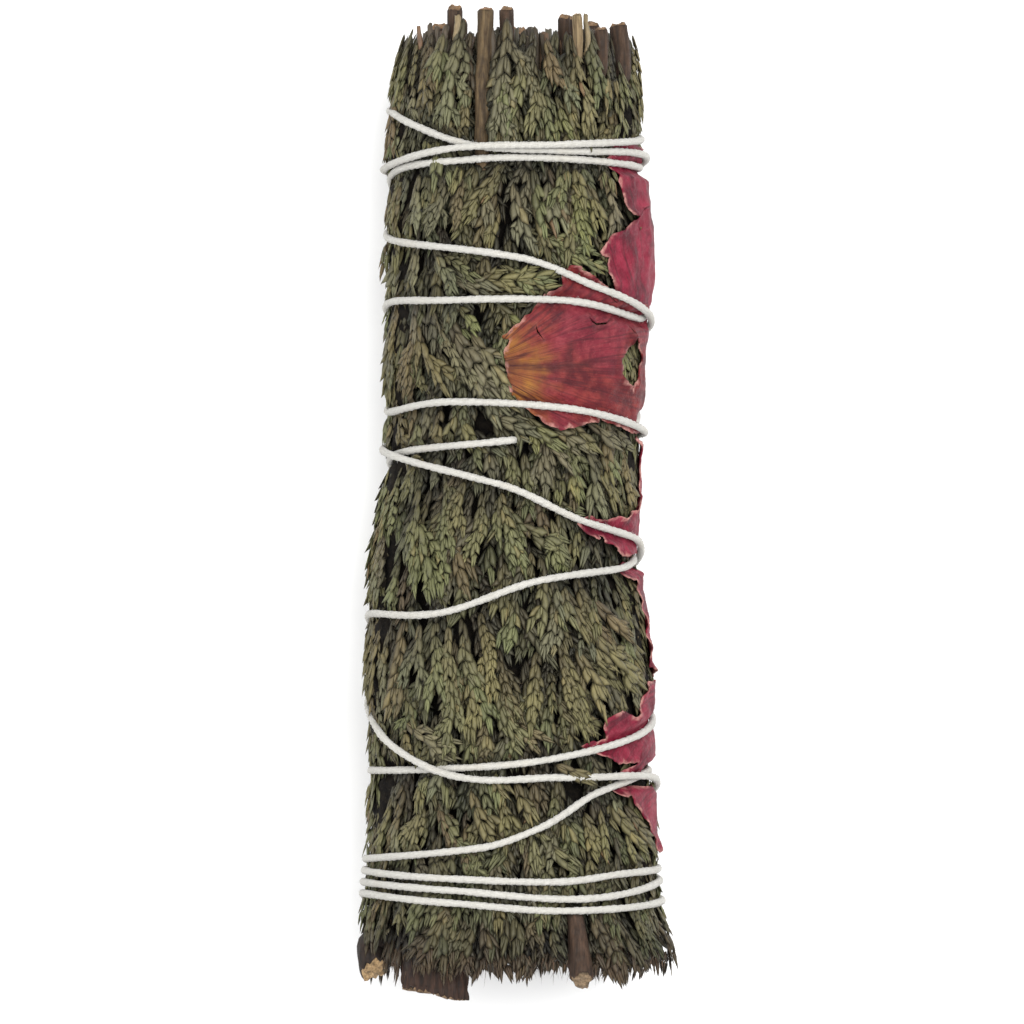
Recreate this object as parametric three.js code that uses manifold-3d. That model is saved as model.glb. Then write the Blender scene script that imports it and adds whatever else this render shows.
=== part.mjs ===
// A hand-tied stick of dried cedar: eight leafy sprays round a middle stem, their cut woody
// stems, dried rose petals and one long cotton string wound round and round the bundle.
// Millimetres, +Z up. It lies on its side with the stem end towards +Y. The origin is on the
// surface that it lies on, under the middle of the bundle.

import * as THREE from 'three';
import { mergeVertices } from 'three/addons/utils/BufferGeometryUtils.js';
import Module from 'manifold-3d';

const wasm = await Module();
wasm.setup();

// Driving dimensions. A row of the outline is y, left edge, right edge, seen from above.
const OUTLINE = [
  [53.0, -13.0, 12.2],
  [47.8, -13.5, 12.6],
  [37.3, -14.2, 13.1],
  [26.8, -14.3, 14.2],
  [16.3, -14.4, 13.4],
  [5.8, -14.3, 12.9],
  [-4.7, -15.8, 12.6],
  [-14.0, -16.3, 13.8],
  [-20.4, -16.3, 14.2],
  [-30.9, -15.9, 14.3],
  [-41.4, -16.9, 15.2],
  [-47.0, -16.9, 16.4],
  [-53.0, -16.2, 16.4],
];
// From the outline's own place to the middle of the whole part.
const ORIGIN_SHIFT = [0.505, -0.34, 0];
const DEPTH_OVER_WIDTH = 0.88;
const REST_PRESS = 0.3;
const TOP_END = 49.4;
const BOTTOM_END = -46.3;
const CLEAR = 0.3;

// Leafy sprays. A spray is an axis with side branchlets, and a branchlet a row of scale whorls.
const SPRAYS = 8;
const BRANCHLETS = 24;
const WHORLS = 3;
const AXIS_RADIUS = 1.7;
const SPRAY_GAP = 0.18;
const WANDER = 0.08;
const WANDER_LENGTH = 45;
const WANDER_PHASE = 2.1;
const BRANCHLET_DROP = 6.5;
const END_DROP = 1.8;
const DROP_OPENING = 0.16;
const DROP_CLOSING = 0.14;
const DROP_KEPT = 0.25;
const FROND_BRANCHLETS = 5;
const FROND_STEP = 0.95;
const FROND_PHASE = 3.7;
const FROND_SLANT = 3;
const UNEVEN = 0.22;
const AXIS_RISE = [0.55, 0.35];
const RIDGE_TIP = 0.0;
const RIDGE_ROOT = 0.75;
const VALLEY_TIP = 1.45;
const VALLEY_ROOT = 1.65;
const TIP_AT = 0.8;
const TIP_POINT = 0.1;
const RAGGED_END = 1.7;
const RAGGED_LEAST = 0.35;
const RAGGED_NOTCH = 0.3;
const END_DISH = 2.2;
const END_TUFT = 2.0;
const END_TUFT_LEAST = 0.4;
const END_TUFT_IN = 0.45;
const INNER_SHORT = 3.0;
const INNER_STEPS = 16;

// Flat spots that the bundle lies on: places along y, half length, half angle in radians.
const REST_SPOTS = [21.3, -6.4, -22.4];
const REST_SPOT_HALF = 2.6;
const REST_SPOT_ANGLE = 0.2;
const REST_SPOT_FADE = [1.2, 0.1];

// String: diameter, how far its middle lies below the outline, and its wraps. A wrap has the
// place where it comes over the left edge, points [x, y] across the front, and the right edge.
// Where two cross, the one with above set, or else the later one, lies over the other.
const STRING_D = 0.8;
const STRING_SINK = 0.3;
const STRING_TOUCH = 1.12;
const STRING_SLANT = 0.94;
const STRING_REST_GAP = 0.2;
const STRING_STEPS = 20;
const STRING_SIDES = 5;
const STRING_CURVE = 60;
const STRING_PRESS_REACH = 1.4;
const GROOVE_FLAT = 1.8;
const GROOVE_EDGE = 3.3;
const GROOVE_CLEAR = 0.5;
const LEAF_CLEAR = 0.15;
const WRAPS = [
  { left: -40.7, front: [[-7.4, -41.3], [4.2, -42.1]], right: -41.4 },
  { left: -39.5, front: [[-7.4, -40.0], [6.3, -40.9]], right: -39.3 },
  { left: -38.3, front: [[-7.4, -38.8], [4.2, -39.1], [10.5, -38.4]], right: -38.1 },
  { left: -37.1, front: [[-4.2, -35.6], [2.1, -33.5], [8.4, -29.9]], right: -27.8 },
  { left: -27.8, front: [[-4.2, -27.2], [4.2, -26.2]], right: -22.5 },
  { left: -11.7, front: [[-8.4, -11.2], [2.1, -7.8]], right: -5.6 },
  { left: 4.7, front: [[-1.0, 6.8], [7.0, 8.2]], right: 9.2 },
  { left: 20.8, front: [[-7.4, 21.4], [4.2, 21.4]], right: 20.0 },
  { left: 34.2, front: [[-5.2, 36.1], [4.0, 36.2]], right: 35.5 },
  { left: 35.3, front: [[-6.3, 37.3], [4.0, 37.6]], right: 38.5, above: true },
  { left: 41.5, front: [[-5.2, 37.6], [4.0, 37.0]], right: 36.6 },
  { left: 28.4, front: [[0.0, 25.8], [8.0, 22.8]], right: 19.3 },
  { left: 10.0, front: [[-7.4, 10.8], [4.2, 10.2]], right: 7.7 },
  { left: 5.9, front: [[-2.1, 2.2], [6.3, -1.5]], right: -4.5 },
  { left: -20.9, front: [[-9.5, -27.2], [-4.2, -28.5], [4.2, -28.3]], right: -29.1 },
];
const KNOT_TURN = 0.08;
const KNOT_Y = -42.4;
const KNOT_SIZE = [1.5, 2.2, 1.5];
const KNOT_SUNK = 0.2;

// Rose petals. A row is y, the angle of the front edge and the angle of the hidden edge in
// degrees, where 90 is straight up and 0 the right edge.
const PETAL_THICKNESS = 0.7;
const PETAL_DEPTH = 0.05;
const PETAL_COLUMN = 3.4;
const PETAL_STEP = 1.5;
const PETAL_BED = 0.9;
const PETAL_BED_REACH = 2.2;
const PETAL_BED_FADE = [1.5, 3.0];
const PETALS = {
  rose_petal_top: [
    [38.4, 35, 12], [37.0, 42, -4], [33.5, 42, -14], [31.3, 32, -18], [30.6, 26, -20],
    [28.6, 36, -24], [26.2, 48, -26], [23.3, 46, -22], [21.6, 34, -12], [20.3, 20, -2],
  ],
  rose_petal_large: [
    [25.2, 62, 54], [23.4, 68, 52], [21.2, 80, 44], [19.2, 92, 26], [17.4, 97, 4],
    [14.5, 97, -14], [12.0, 95, -20], [10.6, 88, -20], [8.8, 74, -12], [7.9, 64, 14],
  ],
  rose_petal_fold: [
    [7.2, 34, 20], [5.6, 24, 4], [3.0, 18, -14], [0.4, 20, -22], [-1.0, 52, -24],
    [-2.2, 64, -24], [-3.4, 56, -20], [-4.8, 30, -10],
  ],
  rose_petal_edge: [
    [-5.9, 30, 16], [-9.0, 26, -6], [-13.0, 20, -22], [-16.0, 16, -20], [-17.8, 14, -6],
  ],
  rose_petal_low: [
    [-18.6, 30, 14], [-19.8, 40, 2], [-21.3, 50, -12], [-23.4, 60, -20], [-25.2, 66, -20],
    [-26.6, 56, -12], [-28.4, 30, 6],
  ],
  rose_petal_last: [
    [-29.4, 56, 40], [-30.6, 50, 6], [-32.4, 42, -10], [-34.4, 34, -6], [-36.2, 22, 10],
  ],
};

// Woody stems that lie on the bundle: angle in degrees, both ends, radius, depth of the axis.
const SURFACE_STEMS = {
  cedar_stem_front: { angle: 107, from: 32.5, to: 52.0, radius: 0.85, depth: 2.0 },
  cedar_stem_pale: { angle: 62, from: 44.0, to: 51.4, radius: 0.6, depth: 1.2 },
  cedar_stem_right: { angle: 40, from: 42.5, to: 50.0, radius: 0.7, depth: 1.4 },
  cedar_stem_corner: { angle: 18, from: 42.0, to: 50.6, radius: 0.95, depth: 1.5 },
  cedar_twig_cut: { angle: 66, from: -43.4, to: -50.2, radius: 1.1, depth: 1.6 },
  cedar_wood_split: { angle: 168, from: -43.2, to: -50.4, radius: 1.4, depth: 1.9 },
};
const PALE_STEMS = ['cedar_stem_pale', 'cedar_wood_split'];

// Woody stems that stand in holes: angle, distance from the middle as a share of the outline,
// radius, and how far they stand out past the end of the sprays.
const END_STEMS = {
  cedar_stem_01: { angle: 96, share: 0.62, radius: 0.75, out: 2.7 },
  cedar_stem_02: { angle: 134, share: 0.68, radius: 0.8, out: 2.9 },
  cedar_stem_03: { angle: 180, share: 0.6, radius: 0.9, out: 1.2 },
  cedar_stem_04: { angle: 225, share: 0.62, radius: 0.8, out: 1.9 },
  cedar_stem_05: { angle: 270, share: 0.58, radius: 1.0, out: 0.9 },
  cedar_stem_06: { angle: 314, share: 0.62, radius: 0.75, out: 2.2 },
  cedar_stem_07: { angle: 0, share: 0.6, radius: 0.85, out: 1.4 },
  cedar_stem_08: { angle: 46, share: 0.56, radius: 0.65, out: 2.0 },
};
const STEM_STEP = 2.4;
const STEM_SIDES = 7;
const STEM_SWELL = 0.08;
const STEM_SLANT = 0.35;
const STEM_CLEAR = 0.1;
const STEM_BED = 0.3;
const STEM_BED_FADE = [0.7, 2.0];
const STEM_END_FADE = [0.6, 2.4];
const END_STEM_SUNK = 12;
const HOLE_PAST_END = 4;

// Middle stem, and the thick piece of bark that sticks out at the lower left.
const MIDDLE_STEM = { radius: 1.15, from: -47.5, to: 50.2, steps: 8 };
const BARK = {
  x: -9.6, width: 8.6, thick: 4.2, top: 1.9, tilt: 0.28, from: -44.2, to: -51.9,
  sides: 14, steps: 4, furrow: 0.09, broken: 1.3, flatter: 0.7, room: 0.4,
};

const DEGREE = Math.PI / 180;

// Small helpers
function seededRandom(seed) {
  let state = seed >>> 0;
  return () => {
    state = (state + 0x6d2b79f5) >>> 0;
    let mixed = Math.imul(state ^ (state >>> 15), 1 | state);
    mixed = (mixed + Math.imul(mixed ^ (mixed >>> 7), 61 | mixed)) ^ mixed;
    return ((mixed ^ (mixed >>> 14)) >>> 0) / 4294967296;
  };
}

function smooth(value) {
  const t = Math.min(1, Math.max(0, value));
  return t * t * (3 - 2 * t);
}

// Full strength up to the inner distance, fading to nothing at the outer one.
function fade(distance, inner, outer) {
  return 1 - smooth((distance - inner) / (outer - inner));
}

// A smooth curve through rows whose first value rises or falls steadily.
function alongRows(rows, at, column) {
  const rising = rows[rows.length - 1][0] > rows[0][0];
  let k = 0;
  while (k < rows.length - 2 && (rising ? at > rows[k + 1][0] : at < rows[k + 1][0])) {
    k += 1;
  }
  const a = rows[Math.max(0, k - 1)];
  const b = rows[k];
  const c = rows[k + 1];
  const d = rows[Math.min(rows.length - 1, k + 2)];
  const span = c[0] - b[0];
  const t = Math.min(1, Math.max(0, (at - b[0]) / span));
  const slopeB = ((c[column] - a[column]) / (c[0] - a[0])) * span;
  const slopeC = ((d[column] - b[column]) / (d[0] - b[0])) * span;
  const t2 = t * t;
  const t3 = t2 * t;
  return (2 * t3 - 3 * t2 + 1) * b[column] + (t3 - 2 * t2 + t) * slopeB
    + (3 * t2 - 2 * t3) * c[column] + (t3 - t2) * slopeC;
}

// The bundle's outline at a station: its middle, half width, half depth and height.
function outlineAt(y) {
  const left = alongRows(OUTLINE, y, 1);
  const right = alongRows(OUTLINE, y, 2);
  const half = (right - left) / 2;
  const deep = half * DEPTH_OVER_WIDTH;
  return { middle: (left + right) / 2, half, deep, height: deep - REST_PRESS };
}

// The point at an angle round the bundle, a depth below its outline.
function skinPoint(angle, depth, y) {
  const o = outlineAt(y);
  const x = o.middle + (o.half - depth) * Math.cos(angle);
  const z = o.height + (o.deep - depth) * Math.sin(angle);
  return new THREE.Vector3(x, y, z);
}

// String route. A turn starts at the left edge, passes over the front and comes back below.
function routeRows() {
  const rows = [[-KNOT_TURN, KNOT_Y]];
  WRAPS.forEach((wrap, n) => {
    rows.push([n, wrap.left]);
    for (const [x, y] of wrap.front) {
      const o = outlineAt(y);
      const angle = Math.acos((x - o.middle) / (o.half - STRING_SINK));
      rows.push([n + 0.5 - angle / (2 * Math.PI), y]);
    }
    rows.push([n + 0.5, wrap.right]);
  });
  rows.push([WRAPS.length - KNOT_TURN, KNOT_Y + 0.2]);
  return rows;
}

const ROUTE = routeRows();
const ROUTE_FINE = 180;
const ROUTE_START = -KNOT_TURN;
const ROUTE_END = WRAPS.length - KNOT_TURN;

// Fine samples of the route: turn, y and depth below the outline. Where two wraps touch or
// cross, the upper one rises by half of what they need, and the lower one is pressed in by the
// rest. Underneath, none comes lower than its rest gap.
function routeSamples() {
  const count = Math.round((ROUTE_END - ROUTE_START) * ROUTE_FINE);
  const samples = [];
  for (let i = 0; i <= count; i += 1) {
    const turn = ROUTE_START + i / ROUTE_FINE;
    const y = alongRows(ROUTE, turn, 1);
    const sine = Math.sin(Math.PI - turn * 2 * Math.PI);
    const o = outlineAt(y);
    const low = STRING_D / 2 + STRING_REST_GAP;
    const least = sine < -0.3 ? o.deep - (low - o.height) / sine : -STRING_D;
    const wrap = WRAPS[Math.max(0, Math.floor(turn))];
    const rank = turn + (wrap.above ? WRAPS.length : 0);
    samples.push({ turn, y, least, rank });
  }
  const touch = STRING_D * STRING_TOUCH;
  const reach = Math.round((STRING_PRESS_REACH * ROUTE_FINE) / STRING_STEPS);
  const need = (i, j) => {
    let most = 0;
    for (let k = -reach; k <= reach; k += 1) {
      if (samples[i + k] && samples[j + k]) {
        const gap = Math.abs(samples[j + k].y - samples[i + k].y) * STRING_SLANT;
        most = Math.max(most, Math.sqrt(Math.max(0, touch * touch - gap * gap)));
      }
    }
    return most;
  };
  for (let first = 0; first < ROUTE_FINE; first += 1) {
    const stack = [];
    for (let i = first; i <= count; i += ROUTE_FINE) {
      stack.push(i);
    }
    stack.sort((i, j) => samples[j].rank - samples[i].rank);
    stack.forEach((i, n) => {
      const lift = Math.max(0, ...stack.slice(n + 1).map((j) => need(i, j) / 2));
      samples[i].depth = Math.max(STRING_SINK - lift, samples[i].least);
      for (const j of stack.slice(0, n)) {
        const more = need(i, j);
        if (more > 0) {
          samples[i].depth = Math.max(samples[i].depth, samples[j].depth + more);
        }
      }
    });
  }
  samples.forEach((sample, i) => {
    const near = samples.slice(Math.max(0, i - reach), i + reach + 1);
    sample.deepest = Math.max(...near.map((other) => other.depth));
  });
  return samples;
}

const SAMPLES = routeSamples();

// How deep the string presses whatever lies under it, at an angle and a station.
function stringPress(angle, y) {
  const part = (((Math.PI - angle) / (2 * Math.PI)) % 1 + 1) % 1;
  let press = 0;
  for (let turn = part - 1; turn <= ROUTE_END; turn += 1) {
    const sample = SAMPLES[Math.round((turn - ROUTE_START) * ROUTE_FINE)];
    if (sample) {
      const weight = fade(Math.abs(sample.y - y), GROOVE_FLAT, GROOVE_EDGE);
      press = Math.max(press, (sample.deepest + STRING_D / 2 + GROOVE_CLEAR) * weight);
    }
  }
  return press;
}

// Depth of a petal's outer face.
function petalDepth(angle, y) {
  return Math.max(PETAL_DEPTH, stringPress(angle, y));
}

// How far a point lies inside a petal's outline, in millimetres. Outside it is negative.
function insidePetal(rows, angle, y) {
  const top = rows[0][0];
  const bottom = rows[rows.length - 1][0];
  const radius = outlineAt(y).half;
  const at = Math.min(top, Math.max(bottom, y));
  const front = alongRows(rows, at, 1) * DEGREE;
  const back = alongRows(rows, at, 2) * DEGREE;
  const turned = angle > Math.PI ? angle - 2 * Math.PI : angle;
  return Math.min(top - y, y - bottom, (front - turned) * radius, (turned - back) * radius);
}

// Depth of the axis of a stem that lies on the bundle. The string presses it in.
function stemDepth(stem, y) {
  const pressed = stringPress(stem.angle * DEGREE, y) + stem.radius + STEM_CLEAR;
  return Math.max(stem.depth, pressed);
}

// Least depth of the foliage, so that string, petals and stems lie on it and not in it.
function coverDepth(angle, y) {
  let cover = stringPress(angle, y) + LEAF_CLEAR;
  for (const rows of Object.values(PETALS)) {
    const near = [-PETAL_BED_REACH, 0, PETAL_BED_REACH];
    const inside = Math.max(...near.map((step) => insidePetal(rows, angle, y + step)));
    const under = petalDepth(angle, y) + PETAL_THICKNESS + CLEAR + PETAL_BED;
    cover = Math.max(cover, under * fade(-inside, ...PETAL_BED_FADE));
  }
  for (const stem of Object.values(SURFACE_STEMS)) {
    const turned = Math.abs(angle - stem.angle * DEGREE);
    const aside = turned * outlineAt(y).half - stem.radius;
    const past = Math.max(0, Math.min(stem.from, stem.to) - y);
    const under = stemDepth(stem, y) + stem.radius + CLEAR + STEM_BED;
    const weight = fade(aside, ...STEM_BED_FADE) * fade(past, ...STEM_END_FADE);
    cover = Math.max(cover, under * weight);
  }
  return cover;
}

// How much a point belongs to one of the flat spots that the bundle lies on.
function restSpot(angle, y) {
  const turned = Math.abs(angle - 1.5 * Math.PI);
  let weight = 0;
  for (const spot of REST_SPOTS) {
    const [fadeAlong, fadeRound] = REST_SPOT_FADE;
    const along = fade(Math.abs(y - spot), REST_SPOT_HALF, REST_SPOT_HALF + fadeAlong);
    const round = fade(turned, REST_SPOT_ANGLE, REST_SPOT_ANGLE + fadeRound);
    weight = Math.max(weight, along * round);
  }
  return weight;
}

// Geometry and solids
function solidOf(geometry) {
  const bare = geometry.clone();
  bare.deleteAttribute('normal');
  bare.deleteAttribute('uv');
  const merged = mergeVertices(bare, 1e-4);
  return new wasm.Manifold(new wasm.Mesh({
    numProp: 3,
    vertProperties: new Float32Array(merged.attributes.position.array),
    triVerts: new Uint32Array(merged.index.array),
  }));
}

function geometryOf(solid) {
  const mesh = solid.getMesh();
  const geometry = new THREE.BufferGeometry();
  geometry.setAttribute('position', new THREE.BufferAttribute(mesh.vertProperties, 3));
  geometry.setIndex(new THREE.BufferAttribute(mesh.triVerts, 1));
  return geometry;
}

// The largest loose piece of a cut solid, without slivers.
function mainPiece(solid) {
  const pieces = solid.decompose();
  pieces.sort((a, b) => b.volume() - a.volume());
  return pieces[0].simplify(0.02);
}

// A closed surface from its points and triangles, turned to face out.
function closedGeometry(points, triangles) {
  let volume = 0;
  for (const [a, b, c] of triangles) {
    volume += points[a].dot(new THREE.Vector3().crossVectors(points[b], points[c]));
  }
  const order = volume > 0 ? triangles : triangles.map(([a, b, c]) => [a, c, b]);
  const geometry = new THREE.BufferGeometry().setFromPoints(points);
  geometry.setIndex(order.flat());
  return geometry;
}

function named(name, geometry, material) {
  const flat = geometry.index ? geometry.toNonIndexed() : geometry;
  flat.computeVertexNormals();
  const mesh = new THREE.Mesh(flat, material);
  mesh.name = name;
  return mesh;
}

// Leafy sprays
function sprayBorder(k, y) {
  const phase = ((k + SPRAYS) % SPRAYS) * WANDER_PHASE;
  const wave = Math.sin((y / WANDER_LENGTH) * 2 * Math.PI + phase);
  return (k + 0.5) * ((2 * Math.PI) / SPRAYS) + WANDER * wave;
}

function branchletDrop(along) {
  const opening = smooth(along / DROP_OPENING);
  const closing = smooth((along - 1 + DROP_CLOSING) / DROP_CLOSING);
  return END_DROP + (BRANCHLET_DROP - END_DROP) * (opening - (1 - DROP_KEPT) * closing);
}

// One vertex of a spray's scaly outside. Odd lines are the backs of the branchlets, and odd
// rings the tips of the scale whorls along them.
function sprayVertex(k, line, ring, side, random) {
  const lines = BRANCHLETS * 2;
  const rings = WHORLS * 2;
  const along = line / lines;
  const back = line % 2 === 1;
  const tip = ring % 2 === 1;
  let share = ring / rings;
  if (tip) {
    share = (Math.floor(ring / 2) + TIP_AT + (back ? TIP_POINT : -TIP_POINT)) / WHORLS;
  }
  let y = TOP_END + (BOTTOM_END - TOP_END) * along - branchletDrop(along) * share;
  const length = RAGGED_LEAST + (1 - RAGGED_LEAST) * random();
  const ragged = length * RAGGED_END * (tip ? 1 : -RAGGED_NOTCH);
  y += line === 0 ? ragged : 0;
  y -= line === lines ? ragged : 0;

  const before = sprayBorder(k - 1, y);
  const after = sprayBorder(k, y);
  const middle = (before + after) / 2;
  const angle = middle + side * share * ((after - before) / 2);

  const place = line + share * FROND_SLANT + k * FROND_PHASE;
  const frond = (place / (FROND_BRANCHLETS * 2)) % 1;
  let depth = FROND_STEP * (1 - frond) + UNEVEN * (random() - 0.5);
  if (back) {
    depth += tip ? RIDGE_TIP : RIDGE_ROOT;
  } else {
    depth += tip ? VALLEY_TIP : VALLEY_ROOT;
  }
  if (ring === 0) {
    depth -= back ? AXIS_RISE[1] : AXIS_RISE[0];
  }
  const wrapped = ((angle % (2 * Math.PI)) + 2 * Math.PI) % (2 * Math.PI);
  depth = Math.max(depth, coverDepth(wrapped, y));
  depth *= 1 - restSpot(wrapped, y);

  const point = skinPoint(angle, depth, y);
  if (ring === rings) {
    point.x += side * SPRAY_GAP * Math.sin(angle);
    point.z -= side * SPRAY_GAP * Math.cos(angle);
  }
  point.z = Math.max(point.z, 0);
  return point;
}

// A point on a spray's inner edge, near the middle stem.
function innerPoint(k, side, y) {
  const o = outlineAt(y);
  const angle = side > 0 ? sprayBorder(k, y) : sprayBorder(k - 1, y);
  const x = o.middle + AXIS_RADIUS * Math.cos(angle) + side * SPRAY_GAP * Math.sin(angle);
  const z = o.height + AXIS_RADIUS * Math.sin(angle) - side * SPRAY_GAP * Math.cos(angle);
  return new THREE.Vector3(x, y, z);
}

// Triangles between two lines of points that both run down the bundle.
function zip(points, first, second, triangles) {
  let i = 0;
  let j = 0;
  while (i < first.length - 1 || j < second.length - 1) {
    const nextFirst = i < first.length - 1 ? points[first[i + 1]].y : -Infinity;
    const nextSecond = j < second.length - 1 ? points[second[j + 1]].y : -Infinity;
    if (nextFirst >= nextSecond) {
      triangles.push([first[i], first[i + 1], second[j]]);
      i += 1;
    } else {
      triangles.push([first[i], second[j + 1], second[j]]);
      j += 1;
    }
  }
}

function sprayGeometry(k) {
  const random = seededRandom(41 + k * 7);
  const lines = BRANCHLETS * 2;
  const rings = WHORLS * 2;
  const columns = rings * 2 + 1;
  const points = [];
  const triangles = [];
  for (let line = 0; line <= lines; line += 1) {
    for (let column = 0; column < columns; column += 1) {
      const side = column < rings ? -1 : 1;
      points.push(sprayVertex(k, line, Math.abs(column - rings), side, random));
    }
  }
  const at = (line, column) => line * columns + column;
  for (let line = 0; line < lines; line += 1) {
    for (let column = 0; column < columns - 1; column += 1) {
      const a = at(line, column);
      const b = at(line, column + 1);
      const c = at(line + 1, column);
      const d = at(line + 1, column + 1);
      triangles.push([a, b, d], [a, d, c]);
    }
  }
  const inner = (side) => {
    const ids = [];
    const steps = INNER_STEPS;
    for (let step = 0; step <= steps; step += 1) {
      const y = TOP_END - INNER_SHORT + (BOTTOM_END - TOP_END + INNER_SHORT) * (step / steps);
      ids.push(points.push(innerPoint(k, side, y)) - 1);
    }
    return ids;
  };
  const innerBefore = inner(-1);
  const innerAfter = inner(1);
  const borderBefore = [];
  const borderAfter = [];
  for (let line = 0; line <= lines; line += 1) {
    borderBefore.push(at(line, 0));
    borderAfter.push(at(line, columns - 1));
  }
  zip(points, borderBefore, innerBefore, triangles);
  zip(points, innerAfter, borderAfter, triangles);
  zip(points, innerBefore, innerAfter, triangles);

  // Each end is dished in towards the middle, with a second row of ragged tips behind the rim.
  const cap = (line, inward) => {
    const last = line === 0 ? 0 : innerBefore.length - 1;
    const rim = [innerBefore[last]];
    for (let column = 0; column < columns; column += 1) {
      rim.push(at(line, column));
    }
    rim.push(innerAfter[last]);
    const centre = new THREE.Vector3();
    rim.forEach((id) => centre.addScaledVector(points[id], 1 / rim.length));
    centre.y += inward * END_DISH;
    const ring = rim.map((id, n) => {
      const inside = points[id].clone().lerp(centre, END_TUFT_IN);
      const tuft = END_TUFT_LEAST + END_TUFT * random();
      inside.y -= inward * (n % 2 === 0 ? -END_TUFT_LEAST : tuft);
      return points.push(inside) - 1;
    });
    const middle = points.push(centre) - 1;
    const push = (a, b, c) => triangles.push(inward > 0 ? [a, b, c] : [a, c, b]);
    rim.forEach((id, n) => {
      const after = (n + 1) % rim.length;
      push(id, rim[after], ring[after]);
      push(id, ring[after], ring[n]);
      push(ring[n], ring[after], middle);
    });
  };
  cap(0, -1);
  cap(lines, 1);
  return closedGeometry(points, triangles);
}

// Woody stems
function surfaceStemGeometry(stem) {
  const low = Math.min(stem.from, stem.to);
  const high = Math.max(stem.from, stem.to);
  const steps = Math.max(1, Math.round((high - low) / STEM_STEP));
  const centres = [];
  for (let step = 0; step <= steps; step += 1) {
    const y = low + ((high - low) * step) / steps;
    centres.push(skinPoint(stem.angle * DEGREE, stemDepth(stem, y), y));
  }
  return rodGeometry(centres, stem.radius);
}

// A rod along the bundle through some centres, with a slanting cut at its upper end.
function rodGeometry(centres, radius) {
  const points = [];
  const triangles = [];
  const last = centres.length - 1;
  centres.forEach((centre, n) => {
    for (let side = 0; side < STEM_SIDES; side += 1) {
      const turn = (side / STEM_SIDES) * 2 * Math.PI;
      const swell = 1 + STEM_SWELL * Math.sin(side * 2.4 + n * 1.9);
      const x = centre.x + radius * swell * Math.cos(turn);
      const z = centre.z + radius * swell * Math.sin(turn);
      const cut = n === last ? STEM_SLANT * radius * Math.cos(turn + 1) : 0;
      points.push(new THREE.Vector3(x, centre.y + cut, z));
    }
  });
  closeRod(STEM_SIDES, last, triangles);
  return closedGeometry(points, triangles);
}

// The sides and both ends of a rod whose rings of points follow one another.
function closeRod(sides, last, triangles) {
  for (let n = 0; n < last; n += 1) {
    for (let side = 0; side < sides; side += 1) {
      const a = n * sides + side;
      const b = n * sides + ((side + 1) % sides);
      triangles.push([a, b, b + sides], [a, b + sides, a + sides]);
    }
  }
  const top = last * sides;
  for (let side = 1; side < sides - 1; side += 1) {
    triangles.push([0, side + 1, side]);
    triangles.push([top, top + side, top + side + 1]);
  }
}

function endStemCentres(stem) {
  const angle = stem.angle * DEGREE;
  const high = TOP_END + stem.out;
  const o = outlineAt(TOP_END - END_STEM_SUNK / 2);
  return [TOP_END - END_STEM_SUNK, high].map((y) => {
    const x = o.middle + o.half * stem.share * Math.cos(angle);
    const z = o.height + o.deep * stem.share * Math.sin(angle);
    return new THREE.Vector3(x, y, z);
  });
}

function middleStemCentres() {
  const centres = [];
  const { from, to, steps } = MIDDLE_STEM;
  for (let step = 0; step <= steps; step += 1) {
    const y = from + ((to - from) * step) / steps;
    const o = outlineAt(y);
    centres.push(new THREE.Vector3(o.middle, y, o.height));
  }
  return centres;
}

// A split length of branch with furrowed bark, flatter below and broken off unevenly.
function barkGeometry(grow) {
  const o = outlineAt((BARK.from + BARK.to) / 2);
  const slant = Math.sqrt(1 - ((BARK.x - o.middle) / o.half) ** 2);
  const height = o.height + o.deep * slant - BARK.top - BARK.thick / 2;
  const points = [];
  const triangles = [];
  const sides = BARK.sides;
  for (let n = 0; n <= BARK.steps; n += 1) {
    const y = BARK.from + grow + ((BARK.to - BARK.from - 2 * grow) * n) / BARK.steps;
    for (let side = 0; side < sides; side += 1) {
      const turn = (side / sides) * 2 * Math.PI;
      const below = Math.sin(turn) < 0 ? BARK.flatter : 1;
      const furrow = grow > 0 ? 1 : 1 - BARK.furrow * ((side + n) % 2);
      const wide = (BARK.width / 2) * furrow + grow;
      const deep = (BARK.thick / 2) * furrow + grow;
      const x = BARK.x + wide * Math.cos(turn);
      const z = height + deep * below * Math.sin(turn) + BARK.tilt * (x - BARK.x);
      const last = n === BARK.steps && grow === 0;
      const broken = last ? BARK.broken * smooth(0.5 + Math.cos(turn) / 2) : 0;
      points.push(new THREE.Vector3(x, y + broken, z));
    }
  }
  closeRod(sides, BARK.steps, triangles);
  return closedGeometry(points, triangles);
}

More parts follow.
